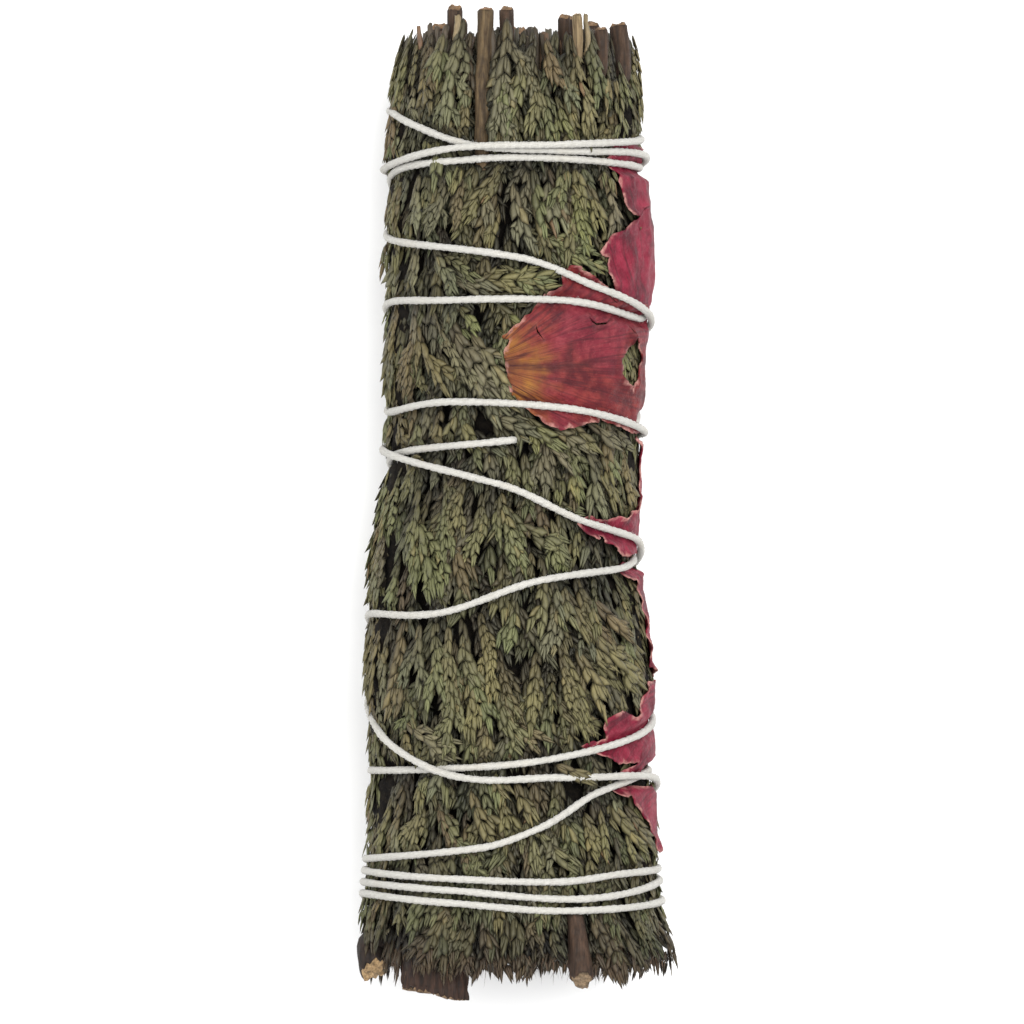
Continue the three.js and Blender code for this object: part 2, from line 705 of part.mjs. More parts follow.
// Petals: thin curved blades that lie on the foliage, both faces split alike.
function petalGeometry(rows) {
  const top = rows[0][0];
  const bottom = rows[rows.length - 1][0];
  const steps = Math.round((top - bottom) / PETAL_STEP);
  const widest = Math.max(...rows.map((row) => row[1] - row[2])) * DEGREE;
  const across = Math.ceil((widest * outlineAt(top).half) / PETAL_COLUMN);
  const points = [];
  const triangles = [];
  const columns = across + 1;
  for (let face = 0; face < 2; face += 1) {
    for (let step = 0; step <= steps; step += 1) {
      const y = top + ((bottom - top) * step) / steps;
      const front = alongRows(rows, y, 1);
      const back = alongRows(rows, y, 2);
      for (let column = 0; column < columns; column += 1) {
        const angle = (front + ((back - front) * column) / across) * DEGREE;
        const depth = petalDepth(angle, y) + face * PETAL_THICKNESS;
        points.push(skinPoint(angle, depth, y));
      }
    }
  }
  const under = (steps + 1) * columns;
  const quad = (a, b, c, d) => triangles.push([a, b, c], [a, c, d]);
  for (let step = 0; step < steps; step += 1) {
    for (let column = 0; column < across; column += 1) {
      const a = step * columns + column;
      quad(a, a + 1, a + columns + 1, a + columns);
      triangles.push([under + a, under + a + columns + 1, under + a + 1]);
      triangles.push([under + a, under + a + columns, under + a + columns + 1]);
    }
  }
  for (let column = 0; column < across; column += 1) {
    const b = steps * columns + column;
    quad(column, under + column, under + column + 1, column + 1);
    quad(b, b + 1, under + b + 1, under + b);
  }
  for (let step = 0; step < steps; step += 1) {
    const a = step * columns;
    const c = a + across;
    quad(a, a + columns, under + a + columns, under + a);
    quad(c, under + c, under + c + columns, c + columns);
  }
  return closedGeometry(points, triangles);
}

// String: one tube along the whole route, its two ends tied in a knot behind the left edge.
function stringGeometry() {
  const every = ROUTE_FINE / STRING_CURVE;
  const centres = SAMPLES.filter((sample, n) => n % every === 0).map((sample) => {
    const angle = Math.PI - sample.turn * 2 * Math.PI;
    return skinPoint(angle, sample.depth, sample.y);
  });
  const path = new THREE.CatmullRomCurve3(centres);
  path.arcLengthDivisions = centres.length * 4;
  const section = new THREE.Shape();
  for (let side = 0; side < STRING_SIDES; side += 1) {
    const turn = (side / STRING_SIDES) * 2 * Math.PI;
    const x = (STRING_D / 2) * Math.cos(turn);
    const y = (STRING_D / 2) * Math.sin(turn);
    if (side === 0) {
      section.moveTo(x, y);
    } else {
      section.lineTo(x, y);
    }
  }
  return new THREE.ExtrudeGeometry(section, {
    steps: Math.round((ROUTE_END - ROUTE_START) * STRING_STEPS),
    extrudePath: path,
    bevelEnabled: false,
    curveSegments: 1,
  });
}

function knotSolid() {
  const angle = Math.PI + KNOT_TURN * 2 * Math.PI;
  const lump = new THREE.SphereGeometry(1, 8, 6);
  lump.scale(...KNOT_SIZE);
  const place = skinPoint(angle, KNOT_SUNK, KNOT_Y);
  lump.translate(place.x, place.y, place.z);
  return solidOf(lump);
}

// Materials
const leafMaterial = new THREE.MeshStandardMaterial({ color: 0x6a6b4c, roughness: 0.85 });
const woodMaterial = new THREE.MeshStandardMaterial({ color: 0x5f503f, roughness: 0.9 });
const paleWoodMaterial = new THREE.MeshStandardMaterial({ color: 0xab967a, roughness: 0.85 });
const petalMaterial = new THREE.MeshStandardMaterial({ color: 0x8c3f4a, roughness: 0.75 });
const stringMaterial = new THREE.MeshStandardMaterial({ color: 0xe4e1d8, roughness: 0.95 });

// Assembly
const cedarStick = new THREE.Group();
cedarStick.position.set(...ORIGIN_SHIFT);
const leafyBundle = new THREE.Group();
const woodyStems = new THREE.Group();
const rosePetals = new THREE.Group();
cedarStick.add(leafyBundle, woodyStems, rosePetals);

const endHoles = Object.values(END_STEMS).map((stem) => {
  const centres = endStemCentres(stem);
  centres[0].y -= CLEAR;
  centres[1].y += HOLE_PAST_END;
  return solidOf(rodGeometry(centres, stem.radius * (1 + STEM_SWELL) + CLEAR));
});
const cutters = [...endHoles, solidOf(barkGeometry(BARK.room))];

for (let k = 0; k < SPRAYS; k += 1) {
  let solid = solidOf(sprayGeometry(k));
  for (const cutter of cutters) {
    solid = solid.subtract(cutter);
  }
  const name = `cedar_spray_${k + 1}`;
  leafyBundle.add(named(name, geometryOf(mainPiece(solid)), leafMaterial));
}

woodyStems.add(named(
  'cedar_stem_middle',
  rodGeometry(middleStemCentres(), MIDDLE_STEM.radius),
  woodMaterial,
));
for (const [name, stem] of Object.entries(END_STEMS)) {
  const rod = rodGeometry(endStemCentres(stem), stem.radius);
  woodyStems.add(named(name, rod, woodMaterial));
}
for (const [name, stem] of Object.entries(SURFACE_STEMS)) {
  const pale = PALE_STEMS.includes(name);
  woodyStems.add(named(name, surfaceStemGeometry(stem), pale ? paleWoodMaterial : woodMaterial));
}
woodyStems.add(named('cedar_bark_piece', barkGeometry(0), woodMaterial));

for (const [name, rows] of Object.entries(PETALS)) {
  rosePetals.add(named(name, petalGeometry(rows), petalMaterial));
}

const tiedString = solidOf(stringGeometry()).add(knotSolid());
cedarStick.add(named('cotton_string', geometryOf(mainPiece(tiedString)), stringMaterial));

export default cedarStick;
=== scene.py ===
# A hand-tied stick of dried cedar, rose petals and cotton string, dressed round its packed
# solids and seen from straight above. Shapes are worked out in millimetres in the bundle's own
# coordinates, and turned into metres in the part's frame when a mesh is made.

import math
from types import SimpleNamespace

import bpy
import numpy as np
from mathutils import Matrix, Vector
from mathutils.geometry import delaunay_2d_cdt


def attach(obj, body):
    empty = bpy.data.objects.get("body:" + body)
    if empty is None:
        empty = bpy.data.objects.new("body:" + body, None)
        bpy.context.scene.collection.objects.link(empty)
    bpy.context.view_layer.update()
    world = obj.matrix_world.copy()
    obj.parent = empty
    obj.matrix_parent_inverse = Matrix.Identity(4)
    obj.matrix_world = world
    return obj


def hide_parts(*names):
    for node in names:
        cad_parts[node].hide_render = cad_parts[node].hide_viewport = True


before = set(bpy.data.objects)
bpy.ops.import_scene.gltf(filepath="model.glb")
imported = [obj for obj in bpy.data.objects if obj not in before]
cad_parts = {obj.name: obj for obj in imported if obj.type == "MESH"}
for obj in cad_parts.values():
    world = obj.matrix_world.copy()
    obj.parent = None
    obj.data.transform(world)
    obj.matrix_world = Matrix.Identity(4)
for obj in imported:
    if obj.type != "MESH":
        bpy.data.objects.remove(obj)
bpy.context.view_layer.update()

MM = 0.001
DEGREE = math.pi / 180
FULL_TURN = 2 * math.pi
# From the outline's own place to the middle of the whole part.
SHIFT = np.array([0.505, -0.34, 0.0])

# The bundle's outline: y, left edge, right edge, seen from above.
OUTLINE = np.array([
    [53.0, -13.0, 12.2], [47.8, -13.5, 12.6], [37.3, -14.2, 13.1], [26.8, -14.3, 14.2],
    [16.3, -14.4, 13.4], [5.8, -14.3, 12.9], [-4.7, -15.8, 12.6], [-14.0, -16.3, 13.8],
    [-20.4, -16.3, 14.2], [-30.9, -15.9, 14.3], [-41.4, -16.9, 15.2], [-47.0, -16.9, 16.4],
    [-53.0, -16.2, 16.4],
])
# How deep the bundle is for its width, how far the ground presses it in, where the leaves end,
# its radius on the whole, and how many sprays share its girth.
DEPTH_OVER_WIDTH = 0.88
REST_PRESS = 0.3
TOP_END = 49.4
BOTTOM_END = -46.3
MEAN_RADIUS = 14.0
SPRAYS = 8

# String: its diameter, how far its middle lies below the outline, how far apart two that touch
# lie in diameters, how much their slant narrows a gap, the room between it and the ground, how
# much of a turn a crossing takes, samples in a turn, and the place of its knot.
STRING_D = 0.8
STRING_SINK = 0.3
STRING_TOUCH = 1.12
STRING_SLANT = 0.94
STRING_REST_GAP = 0.2
STRING_REACH = 0.07
FINE = 180
KNOT_TURN = 0.08
KNOT_Y = -42.4
KNOT_STEP = 0.2
# Each wrap's left edge, points across the front and right edge. The wrap numbered here lies
# over those that it crosses. Elsewhere a later one lies over an earlier one.
ABOVE_WRAP = 9
WRAPS = [
    (-40.7, [(-7.4, -41.3), (4.2, -42.1)], -41.4),
    (-39.5, [(-7.4, -40.0), (6.3, -40.9)], -39.3),
    (-38.3, [(-7.4, -38.8), (4.2, -39.1), (10.5, -38.4)], -38.1),
    (-37.1, [(-4.2, -35.6), (2.1, -33.5), (8.4, -29.9)], -27.8),
    (-27.8, [(-4.2, -27.2), (4.2, -26.2)], -22.5),
    (-11.7, [(-8.4, -11.2), (2.1, -7.8)], -5.6),
    (4.7, [(-1.0, 6.8), (7.0, 8.2)], 9.2),
    (20.8, [(-7.4, 21.4), (4.2, 21.4)], 20.0),
    (34.2, [(-5.2, 36.1), (4.0, 36.2)], 35.5),
    (35.3, [(-6.3, 37.3), (4.0, 37.6)], 38.5),
    (41.5, [(-5.2, 37.6), (4.0, 37.0)], 36.6),
    (28.4, [(0.0, 25.8), (8.0, 22.8)], 19.3),
    (10.0, [(-7.4, 10.8), (4.2, 10.2)], 7.7),
    (5.9, [(-2.1, 2.2), (6.3, -1.5)], -4.5),
    (-20.9, [(-9.5, -27.2), (-4.2, -28.5), (4.2, -28.3)], -29.1),
]
# One wrap runs under the foliage for a stretch: from and to in turns, and how deep.
HIDDEN_TURNS = (6.245, 6.47)
HIDDEN_FADE = 0.02
HIDDEN_DEPTH = 2.4
# The string's depths are eased over this many samples each way, by a bell curve this wide.
# Below this sine it is on the underside.
EASE_REACH = 6
EASE_WIDTH = 2.5
UNDERSIDE = -0.3

# Rose petals, held under the string on the right side. Each has the corners of its visible edge,
# x and y as seen from above, then those of its hidden edge, as an angle in degrees and y.
PETALS = {
    "rose_petal_top": (
        [
            (10.2, 38.1), (10.2, 36.6), (10.5, 35.3), (10.4, 33.9), (11.0, 32.2), (11.3, 31.0),
            (11.7, 30.5), (12.3, 30.3), (11.6, 29.5), (11.0, 29.0), (10.3, 28.6), (9.5, 28.3),
            (9.0, 27.3), (8.4, 26.4), (8.8, 26.0), (9.4, 25.9), (9.2, 25.1), (9.0, 24.3),
            (9.8, 23.1), (10.7, 22.0), (12.1, 20.9),
        ],
        [
            (4, 20.2), (-12, 21.4), (-22, 23.6), (-25, 26.4), (-22, 29.4), (-16, 32.0),
            (-14, 35.0), (-5, 37.4), (14, 38.5),
        ],
    ),
    "rose_petal_large": (
        [
            (11.7, 21.5), (10.0, 22.4), (8.4, 23.6), (7.1, 24.3), (6.2, 24.9), (5.3, 25.0),
            (4.8, 24.4), (4.6, 23.6), (4.4, 22.8), (3.6, 22.4), (2.6, 22.0), (1.9, 21.0),
            (1.1, 20.1), (0.3, 19.5), (-0.5, 18.7), (-1.2, 18.2), (-1.9, 17.6), (-1.2, 17.3),
            (-1.5, 16.4), (-1.7, 15.6), (-1.5, 14.5), (-1.3, 13.4), (-1.2, 12.3), (-0.9, 11.5),
            (-0.1, 10.7), (0.9, 9.9), (2.1, 9.0), (3.1, 8.2), (4.2, 7.9), (5.6, 8.1), (7.2, 8.6),
            (9.0, 8.8), (10.5, 8.3), (11.9, 7.6),
        ],
        [
            (8, 7.6), (-10, 8.8), (-19, 10.8), (-20, 14.0), (-17, 17.0), (-8, 19.4), (8, 20.8),
        ],
    ),
    "rose_petal_fold": (
        [
            (12.0, 7.2), (12.9, 6.1), (12.7, 4.8), (12.9, 3.9), (12.8, 1.8), (12.6, 0.6),
            (12.4, -0.3), (11.6, -0.7), (11.0, -1.3), (10.3, -1.1), (9.5, -1.4), (8.8, -1.5),
            (7.6, -1.1), (6.0, -1.2), (6.6, -2.3), (7.3, -3.1), (8.0, -3.6), (8.4, -3.2),
            (8.9, -3.2), (8.8, -3.9), (9.4, -4.1), (10.0, -4.4), (10.5, -5.0), (11.0, -5.3),
        ],
        [
            (16, -5.5), (-4, -5.0), (-20, -3.4), (-24, -1.0), (-22, 1.4), (-16, 4.0), (-4, 6.4),
        ],
    ),
    "rose_petal_edge": (
        [
            (11.8, -5.9), (11.2, -6.3), (11.3, -7.6), (12.0, -7.8), (12.4, -8.9), (12.7, -9.6),
            (12.9, -10.9), (13.2, -12.2), (13.3, -13.3), (13.5, -15.2), (13.7, -16.9),
        ],
        [(-4, -17.9), (-18, -16.2), (-21, -13.0), (-16, -10.0), (-8, -8.0), (8, -6.2)],
    ),
    "rose_petal_low": (
        [
            (13.6, -18.4), (13.2, -19.4), (12.8, -19.8), (12.7, -20.8), (12.5, -21.8),
            (12.0, -22.1), (11.3, -21.6), (10.6, -21.3), (9.7, -21.9), (8.9, -22.5),
            (8.7, -23.0), (8.8, -23.6), (9.3, -24.3), (8.6, -24.6), (7.9, -24.5), (7.1, -24.7),
            (6.7, -25.1), (7.4, -25.6), (9.1, -26.2), (9.7, -26.7), (10.2, -26.9), (11.4, -26.9),
            (12.0, -26.8), (12.2, -27.0), (11.4, -27.4), (10.7, -27.8), (10.2, -28.1),
            (11.5, -28.3), (12.8, -28.2),
        ],
        [
            (10, -28.2), (-8, -27.4), (-18, -25.4), (-20, -22.8), (-14, -20.0), (0, -18.4),
        ],
    ),
    "rose_petal_last": (
        [
            (10.4, -29.3), (10.6, -29.9), (10.8, -30.4), (11.6, -30.7), (12.2, -31.5),
            (12.7, -32.3), (13.1, -32.9), (13.4, -33.5), (13.9, -34.4), (14.3, -35.3),
            (14.6, -36.2),
        ],
        [(4, -36.4), (-6, -34.6), (-9, -32.4), (-6, -30.4), (8, -29.4)],
    ),
}
LARGE_PETAL = "rose_petal_large"
# A hole torn in the largest petal: x and y of its corners.
PETAL_HOLE = [
    (12.0, 17.6), (11.3, 16.3), (10.6, 15.2), (10.7, 13.7), (11.2, 12.8), (11.9, 12.2),
    (12.4, 13.4), (12.7, 15.1), (12.5, 16.6),
]
# Thin tears: points along each, x and y.
PETAL_TEARS = {
    "rose_petal_top": [[(12.1, 30.2), (12.9, 31.0), (13.6, 31.5)]],
    "rose_petal_large": [
        [(6.9, 19.9), (7.3, 19.2), (8.0, 18.9), (8.9, 19.0), (9.9, 19.6)],
        [(11.5, 18.9), (11.8, 18.3), (12.0, 17.8)],
        [(1.6, 18.9), (1.8, 18.1), (2.5, 17.1)],
        [(9.4, 22.2), (10.1, 21.4), (10.6, 21.0)],
    ],
    "rose_petal_low": [[(11.8, -27.6), (12.4, -26.6), (12.9, -25.4)]],
}
TEAR_WIDTH = 0.09
# Where each petal's veins spread from: x and y.
PETAL_ROOTS = {
    "rose_petal_top": (16.0, 8.0), "rose_petal_large": (-4.4, 14.5),
    "rose_petal_fold": (16.0, -14.0), "rose_petal_edge": (18.0, -30.0),
    "rose_petal_low": (22.0, -14.0), "rose_petal_last": (22.0, -22.0),
}
PETAL_DEPTH = 0.05
PETAL_THICKNESS = 0.15

# Stems on the surface: angle in degrees, both ends, radius, depth of the axis.
SURFACE_STEMS = {
    "cedar_stem_front": (107, 32.5, 52.0, 0.85, 2.0),
    "cedar_stem_pale": (57, 44.0, 51.4, 0.52, 1.2),
    "cedar_stem_right": (40, 42.5, 50.0, 0.7, 1.4),
    "cedar_stem_corner": (18, 42.0, 50.6, 0.95, 1.5),
    "cedar_twig_cut": (64.3, -42.2, -50.2, 1.15, 1.5),
    "cedar_wood_split": (167, -44.0, -49.7, 1.5, 0.9),
}
# Where a stem's lower part sinks into the foliage.
STEM_BURIED = {"cedar_stem_front": 36.2, "cedar_stem_pale": 47.0, "cedar_stem_right": 45.8,
               "cedar_stem_corner": 45.4}
# Above this y a stem runs down among the leaves.
STEM_HIDDEN_ABOVE = {"cedar_wood_split": -46.0}
# Stems in the top end: angle, share of the outline, radius, how far they stand out.
END_STEMS = {
    "cedar_stem_01": (96, 0.62, 0.75, 2.7),
    "cedar_stem_02": (134, 0.68, 0.8, 2.9),
    "cedar_stem_03": (180, 0.6, 0.9, 1.2),
    "cedar_stem_04": (225, 0.62, 0.8, 1.9),
    "cedar_stem_05": (270, 0.58, 1.0, 0.9),
    "cedar_stem_06": (314, 0.62, 0.75, 2.2),
    "cedar_stem_07": (0, 0.6, 0.85, 1.4),
    "cedar_stem_08": (46, 0.56, 0.65, 2.0),
}
END_STEM_SUNK = 12
# The stem at the very middle: radius and both ends.
MIDDLE_STEM = (1.15, -47.5, 50.2)

# Camera: straight above, so far that the view is nearly parallel.
CAMERA_HEIGHT = 1.2
VIEW_WIDTH = 107.5
VIEW_CENTRE = (-0.84, -0.68)
EDGE_HEIGHT = 14.0
# No leaf or string reaches higher than this.
HIGHEST = 28.9


# Helpers

def tone(red, green, blue):
    """A screen colour of 0 to 255 as a linear one."""
    values = np.array([red, green, blue]) / 255
    return tuple(np.where(values <= 0.04045, values / 12.92, ((values + 0.055) / 1.055) ** 2.4))


def smooth(value):
    t = np.clip(value, 0, 1)
    return t * t * (3 - 2 * t)


def fade(distance, inner, outer):
    return 1 - smooth((distance - inner) / (outer - inner))


def along_rows(rows, at, column):
    """A smooth curve through rows whose first value rises or falls steadily."""
    rows = np.asarray(rows, float)
    if rows[0, 0] > rows[-1, 0]:
        rows = rows[::-1]
    x = rows[:, 0]
    v = rows[:, column]
    k = np.clip(np.searchsorted(x, at) - 1, 0, len(x) - 2)
    before = np.maximum(k - 1, 0)
    after = np.minimum(k + 2, len(x) - 1)
    span = x[k + 1] - x[k]
    t = np.clip((at - x[k]) / span, 0, 1)
    slope_b = (v[k + 1] - v[before]) / (x[k + 1] - x[before]) * span
    slope_c = (v[after] - v[k]) / (x[after] - x[k]) * span
    t2 = t * t
    t3 = t2 * t
    return ((2 * t3 - 3 * t2 + 1) * v[k] + (t3 - 2 * t2 + t) * slope_b
            + (3 * t2 - 2 * t3) * v[k + 1] + (t3 - t2) * slope_c)


def outline(y):
    """Middle, half width, half depth and height of the bundle at a station."""
    left = along_rows(OUTLINE, y, 1)
    right = along_rows(OUTLINE, y, 2)
    half = (right - left) / 2
    deep = half * DEPTH_OVER_WIDTH
    return (left + right) / 2, half, deep, deep - REST_PRESS


def skin(angle, depth, y):
    """Points at an angle round the bundle and a depth below its outline."""
    middle, half, deep, height = outline(y)
    x = middle + (half - depth) * np.cos(angle)
    z = height + (deep - depth) * np.sin(angle)
    return np.stack([x, y + 0 * x, z], -1)


def outward(angle):
    """Directions straight out of the bundle's surface."""
    n = np.stack([np.cos(angle) * DEPTH_OVER_WIDTH, 0 * angle, np.sin(angle)], -1)
    return n / np.linalg.norm(n, axis=-1, keepdims=True)


def girth(angle, y):
    """How many millimetres of surface one radian covers."""
    _, half, deep, _ = outline(y)
    return np.hypot(half * np.sin(angle), deep * np.cos(angle))


def front_angle(x, y):
    """The angle of the point of the upper surface that lies at x, y seen from above."""
    middle, half, _, _ = outline(y)
    return np.arccos(np.clip((x - middle) / half, -0.99, 0.99))


def unit(vectors):
    return vectors / np.maximum(np.linalg.norm(vectors, axis=-1, keepdims=True), 1e-9)


def square_to(vectors, way):
    """Unit vectors with what lies along a way taken out."""
    return unit(vectors - way * np.sum(vectors * way, -1, keepdims=True))


def turned(one, two, angle):
    """Directions at angles from one direction towards another that is square to it."""
    return one * np.cos(angle)[..., None] + two * np.sin(angle)[..., None]


def arc_lengths(line):
    """How far along a line each of its points lies."""
    return np.concatenate([[0], np.cumsum(np.linalg.norm(np.diff(line, axis=0), axis=1))])


def resampled(line, gone, at):
    """Points of a line at other lengths along it."""
    return np.stack([np.interp(at, gone, values) for values in line.T], -1)


def joined(parts):
    """One mesh from several: their points, faces and values of the points."""
    points, faces, *values = zip(*parts)
    starts = np.cumsum([0] + [len(each) for each in points[:-1]])
    moved = [each + start for each, start in zip(faces, starts)]
    return [np.vstack(points), np.vstack(moved), *(np.vstack(each) for each in values)]


def ripple(u, v, size, seed):
    """Smooth random hills about as wide as size, roughly from -1 to 1."""
    random = np.random.default_rng(seed)
    total = 0
    count = 6
    for _ in range(count):
        turn = random.uniform(0, FULL_TURN)
        wave = FULL_TURN / (size * random.uniform(0.7, 1.6))
        phase = random.uniform(0, FULL_TURN)
        total = total + np.sin(wave * (u * math.cos(turn) + v * math.sin(turn)) + phase)
    return total / count * 1.6


def make_piece(name, points, faces, *materials):
    """A mesh piece from points in millimetres in the bundle's coordinates."""
    mesh = bpy.data.meshes.new(name)
    mesh.from_pydata(((points + SHIFT) * MM).tolist(), [], faces.tolist())
    mesh.polygons.foreach_set("use_smooth", [True] * len(mesh.polygons))
    piece = bpy.data.objects.new(name, mesh)
    bpy.context.scene.collection.objects.link(piece)
    for material in materials:
        mesh.materials.append(material)
    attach(piece, "root")
    return piece


def paint(piece, name, values):
    """Three values for each point, kept on the mesh for its material."""
    layer = piece.data.color_attributes.new(name, "FLOAT_COLOR", "POINT")
    layer.data.foreach_set("color", np.hstack([values, np.ones((len(values), 1))]).ravel())


# Materials

# Tone of the painted highlight along the leaves' ridges.
LEAF_RIDGE_HIGHLIGHT = tone(124, 121, 98)
LEAF_TIP = tone(104, 78, 52)
PETAL_REDS = [tone(90, 10, 32), tone(116, 20, 42), tone(132, 36, 56)]
PETAL_WARM_REDS = [tone(84, 20, 26), tone(110, 33, 36), tone(126, 48, 44)]
PETAL_DULL_REDS = [tone(86, 18, 32), tone(112, 32, 44), tone(128, 50, 56)]
PETAL_FLECK = tone(156, 88, 88)
PETAL_GOLD = tone(142, 96, 36)
PETAL_OCHRE = tone(114, 62, 34)
PETAL_VEIN = tone(46, 12, 20)
PETAL_BRUISE = tone(54, 20, 22)
PETAL_EDGE = tone(184, 136, 126)
# Coarse and fine veins: how many in a radian, how soon they change outwards, and how strong.
PETAL_VEINS = [(6.0, 0.5, 0.9), (17.0, 1.0, 0.65)]
VEIN_WIDTH = 0.035
STRING_SHADE = tone(160, 157, 147)
STRING_LIGHT = tone(198, 196, 190)
STRING_SOIL = tone(180, 170, 150)
# The core: near-black painted shade for the gaps between sprays, and lighter specks of dust.
CORE_SHADE = tone(11, 9, 8)
CORE_LIGHT = tone(32, 27, 20)
BARK_FLECK = tone(64, 48, 36)
# Tone of the painted shade in bark furrows.
BARK_FURROW_SHADE = tone(30, 23, 18)
# Tone of the painted shade where the bark piece lies under the leaves.
BARK_SHADE = tone(14, 11, 9)
# Barks: the dark and the light tone, and the tone of a cut face.
BARKS = {
    "cedar_bark": (tone(32, 24, 19), tone(76, 57, 43), tone(128, 100, 72)),
    "cedar_bark_torn": (tone(20, 14, 12), tone(62, 43, 33), tone(138, 112, 84)),
    "cedar_bark_young": (tone(48, 37, 26), tone(98, 81, 56), tone(140, 106, 76)),
    "cedar_wood_bare": (tone(88, 72, 52), tone(134, 116, 86), tone(170, 142, 104)),
    "cedar_wood_broken": (tone(18, 14, 12), tone(46, 35, 29), tone(176, 146, 106)),
    "cedar_twig_bark": (tone(28, 20, 15), tone(76, 56, 42), tone(140, 118, 92)),
}


class Nodes:
    """Short calls for building a material's node tree."""

    def __init__(self, name):
        self.material = bpy.data.materials.new(name)
        self.material.use_nodes = True
        self.tree = self.material.node_tree
        self.shader = self.tree.nodes["Principled BSDF"]

    def add(self, kind, inputs=None, **settings):
        node = self.tree.nodes.new(kind)
        for key, value in settings.items():
            setattr(node, key, value)
        for key, value in (inputs or {}).items():
            self.put(node.inputs[key], value)
        return node

    def put(self, socket, value):
        if isinstance(value, bpy.types.NodeSocket):
            self.tree.links.new(value, socket)
        elif isinstance(value, tuple) and len(value) == 3 and socket.type == "RGBA":
            socket.default_value = (*value, 1)
        else:
            socket.default_value = value

    def attribute(self, name):
        return self.add("ShaderNodeAttribute", attribute_name=name).outputs

    def parts(self, name):
        """The three values of an attribute."""
        colour = self.attribute(name)["Color"]
        return self.add("ShaderNodeSeparateColor", {0: colour}).outputs

    def place(self):
        return self.add("ShaderNodeNewGeometry").outputs["Position"]

    def scaled(self, vector, scale):
        node = self.add("ShaderNodeVectorMath", {0: vector, 1: scale}, operation="MULTIPLY")
        return node.outputs[0]

    def noise(self, vector, scale, detail=2.0, rough=0.5):
        inputs = {"Vector": vector, "Scale": scale, "Detail": detail, "Roughness": rough}
        return self.add("ShaderNodeTexNoise", inputs).outputs["Fac"]

    def fit(self, value, low, high, to_low=0.0, to_high=1.0):
        inputs = {
            "Value": value, "From Min": low, "From Max": high,
            "To Min": to_low, "To Max": to_high,
        }
        return self.add("ShaderNodeMapRange", inputs).outputs["Result"]

    def maths(self, operation, first, second=0.0):
        return self.add("ShaderNodeMath", {0: first, 1: second}, operation=operation).outputs[0]

    def times(self, product, *others):
        for other in others:
            product = self.maths("MULTIPLY", product, other)
        return product

    def mix(self, share, first, second, blend="MIX"):
        node = self.add("ShaderNodeMix", data_type="RGBA", blend_type=blend)
        self.put(node.inputs["Factor"], share)
        self.put(node.inputs[6], first)
        self.put(node.inputs[7], second)
        return node.outputs[2]

    def bump(self, height, distance, strength=1.0):
        inputs = {"Height": height, "Distance": distance, "Strength": strength}
        self.put(self.shader.inputs["Normal"], self.add("ShaderNodeBump", inputs).outputs[0])

    def finish(self, colour, roughness, specular=0.4):
        self.put(self.shader.inputs["Base Color"], colour)
        self.put(self.shader.inputs["Roughness"], roughness)
        self.shader.inputs["Specular IOR Level"].default_value = specular
        return self.material


def leaf_material():
    """Dry scale leaves: each leaf's own tint and random mottle, with painted shade at the root and
    along the edges where leaves overlap, a painted highlight along the ridge, and dry brown tips.
    """
    n = Nodes("cedar_leaf_scales")
    tint = n.attribute("tint")["Color"]
    across, along, _ = n.parts("leaf")
    place = n.place()
    coarse = n.noise(place, 700.0, 3.0, 0.6)
    fine = n.noise(n.scaled(place, (1.0, 0.25, 1.0)), 4200.0, 3.0, 0.65)
    # Painted shade: darker at the root, which lies under the leaf before, and along the outer
    # edges.
    root = n.fit(along, 0.0, 0.3, 0.8, 1.0)
    mottle = n.fit(coarse, 0.3, 0.7, 0.8, 1.2)
    grain = n.fit(fine, 0.3, 0.7, 0.78, 1.2)
    shade = n.times(root, mottle, grain, n.fit(across, 0.7, 1.0, 1.0, 0.56))
    grey = n.add("ShaderNodeCombineColor", {0: shade, 1: shade, 2: shade}).outputs[0]
    shaded = n.mix(1.0, tint, grey, "MULTIPLY")
    # Painted highlight: paler along each leaf's ridge.
    ridge_highlight = n.times(n.fit(across, 0.5, 0.1), n.fit(along, 0.4, 0.9, 0.0, 0.27))
    highlighted = n.mix(ridge_highlight, shaded, LEAF_RIDGE_HIGHLIGHT)
    dry = n.times(n.fit(along, 0.86, 1.0), n.fit(coarse, 0.5, 0.72, 0.08, 0.7))
    colour = n.mix(dry, highlighted, LEAF_TIP)
    n.bump(fine, 0.00007, 0.6)
    return n.finish(colour, n.fit(coarse, 0.3, 0.7, 0.55, 0.75), 0.35)


def core_material():
    """The dark dead leaf and dust between the sprays: near-black painted shade for the gaps, with
    lighter specks.
    """
    n = Nodes("cedar_core_dust_and_shade")
    specks = n.noise(n.place(), 1500.0, 4.0, 0.7)
    colour = n.mix(n.fit(specks, 0.4, 0.75), CORE_SHADE, CORE_LIGHT)
    n.bump(specks, 0.0003, 0.8)
    return n.finish(colour, 0.95, 0.15)


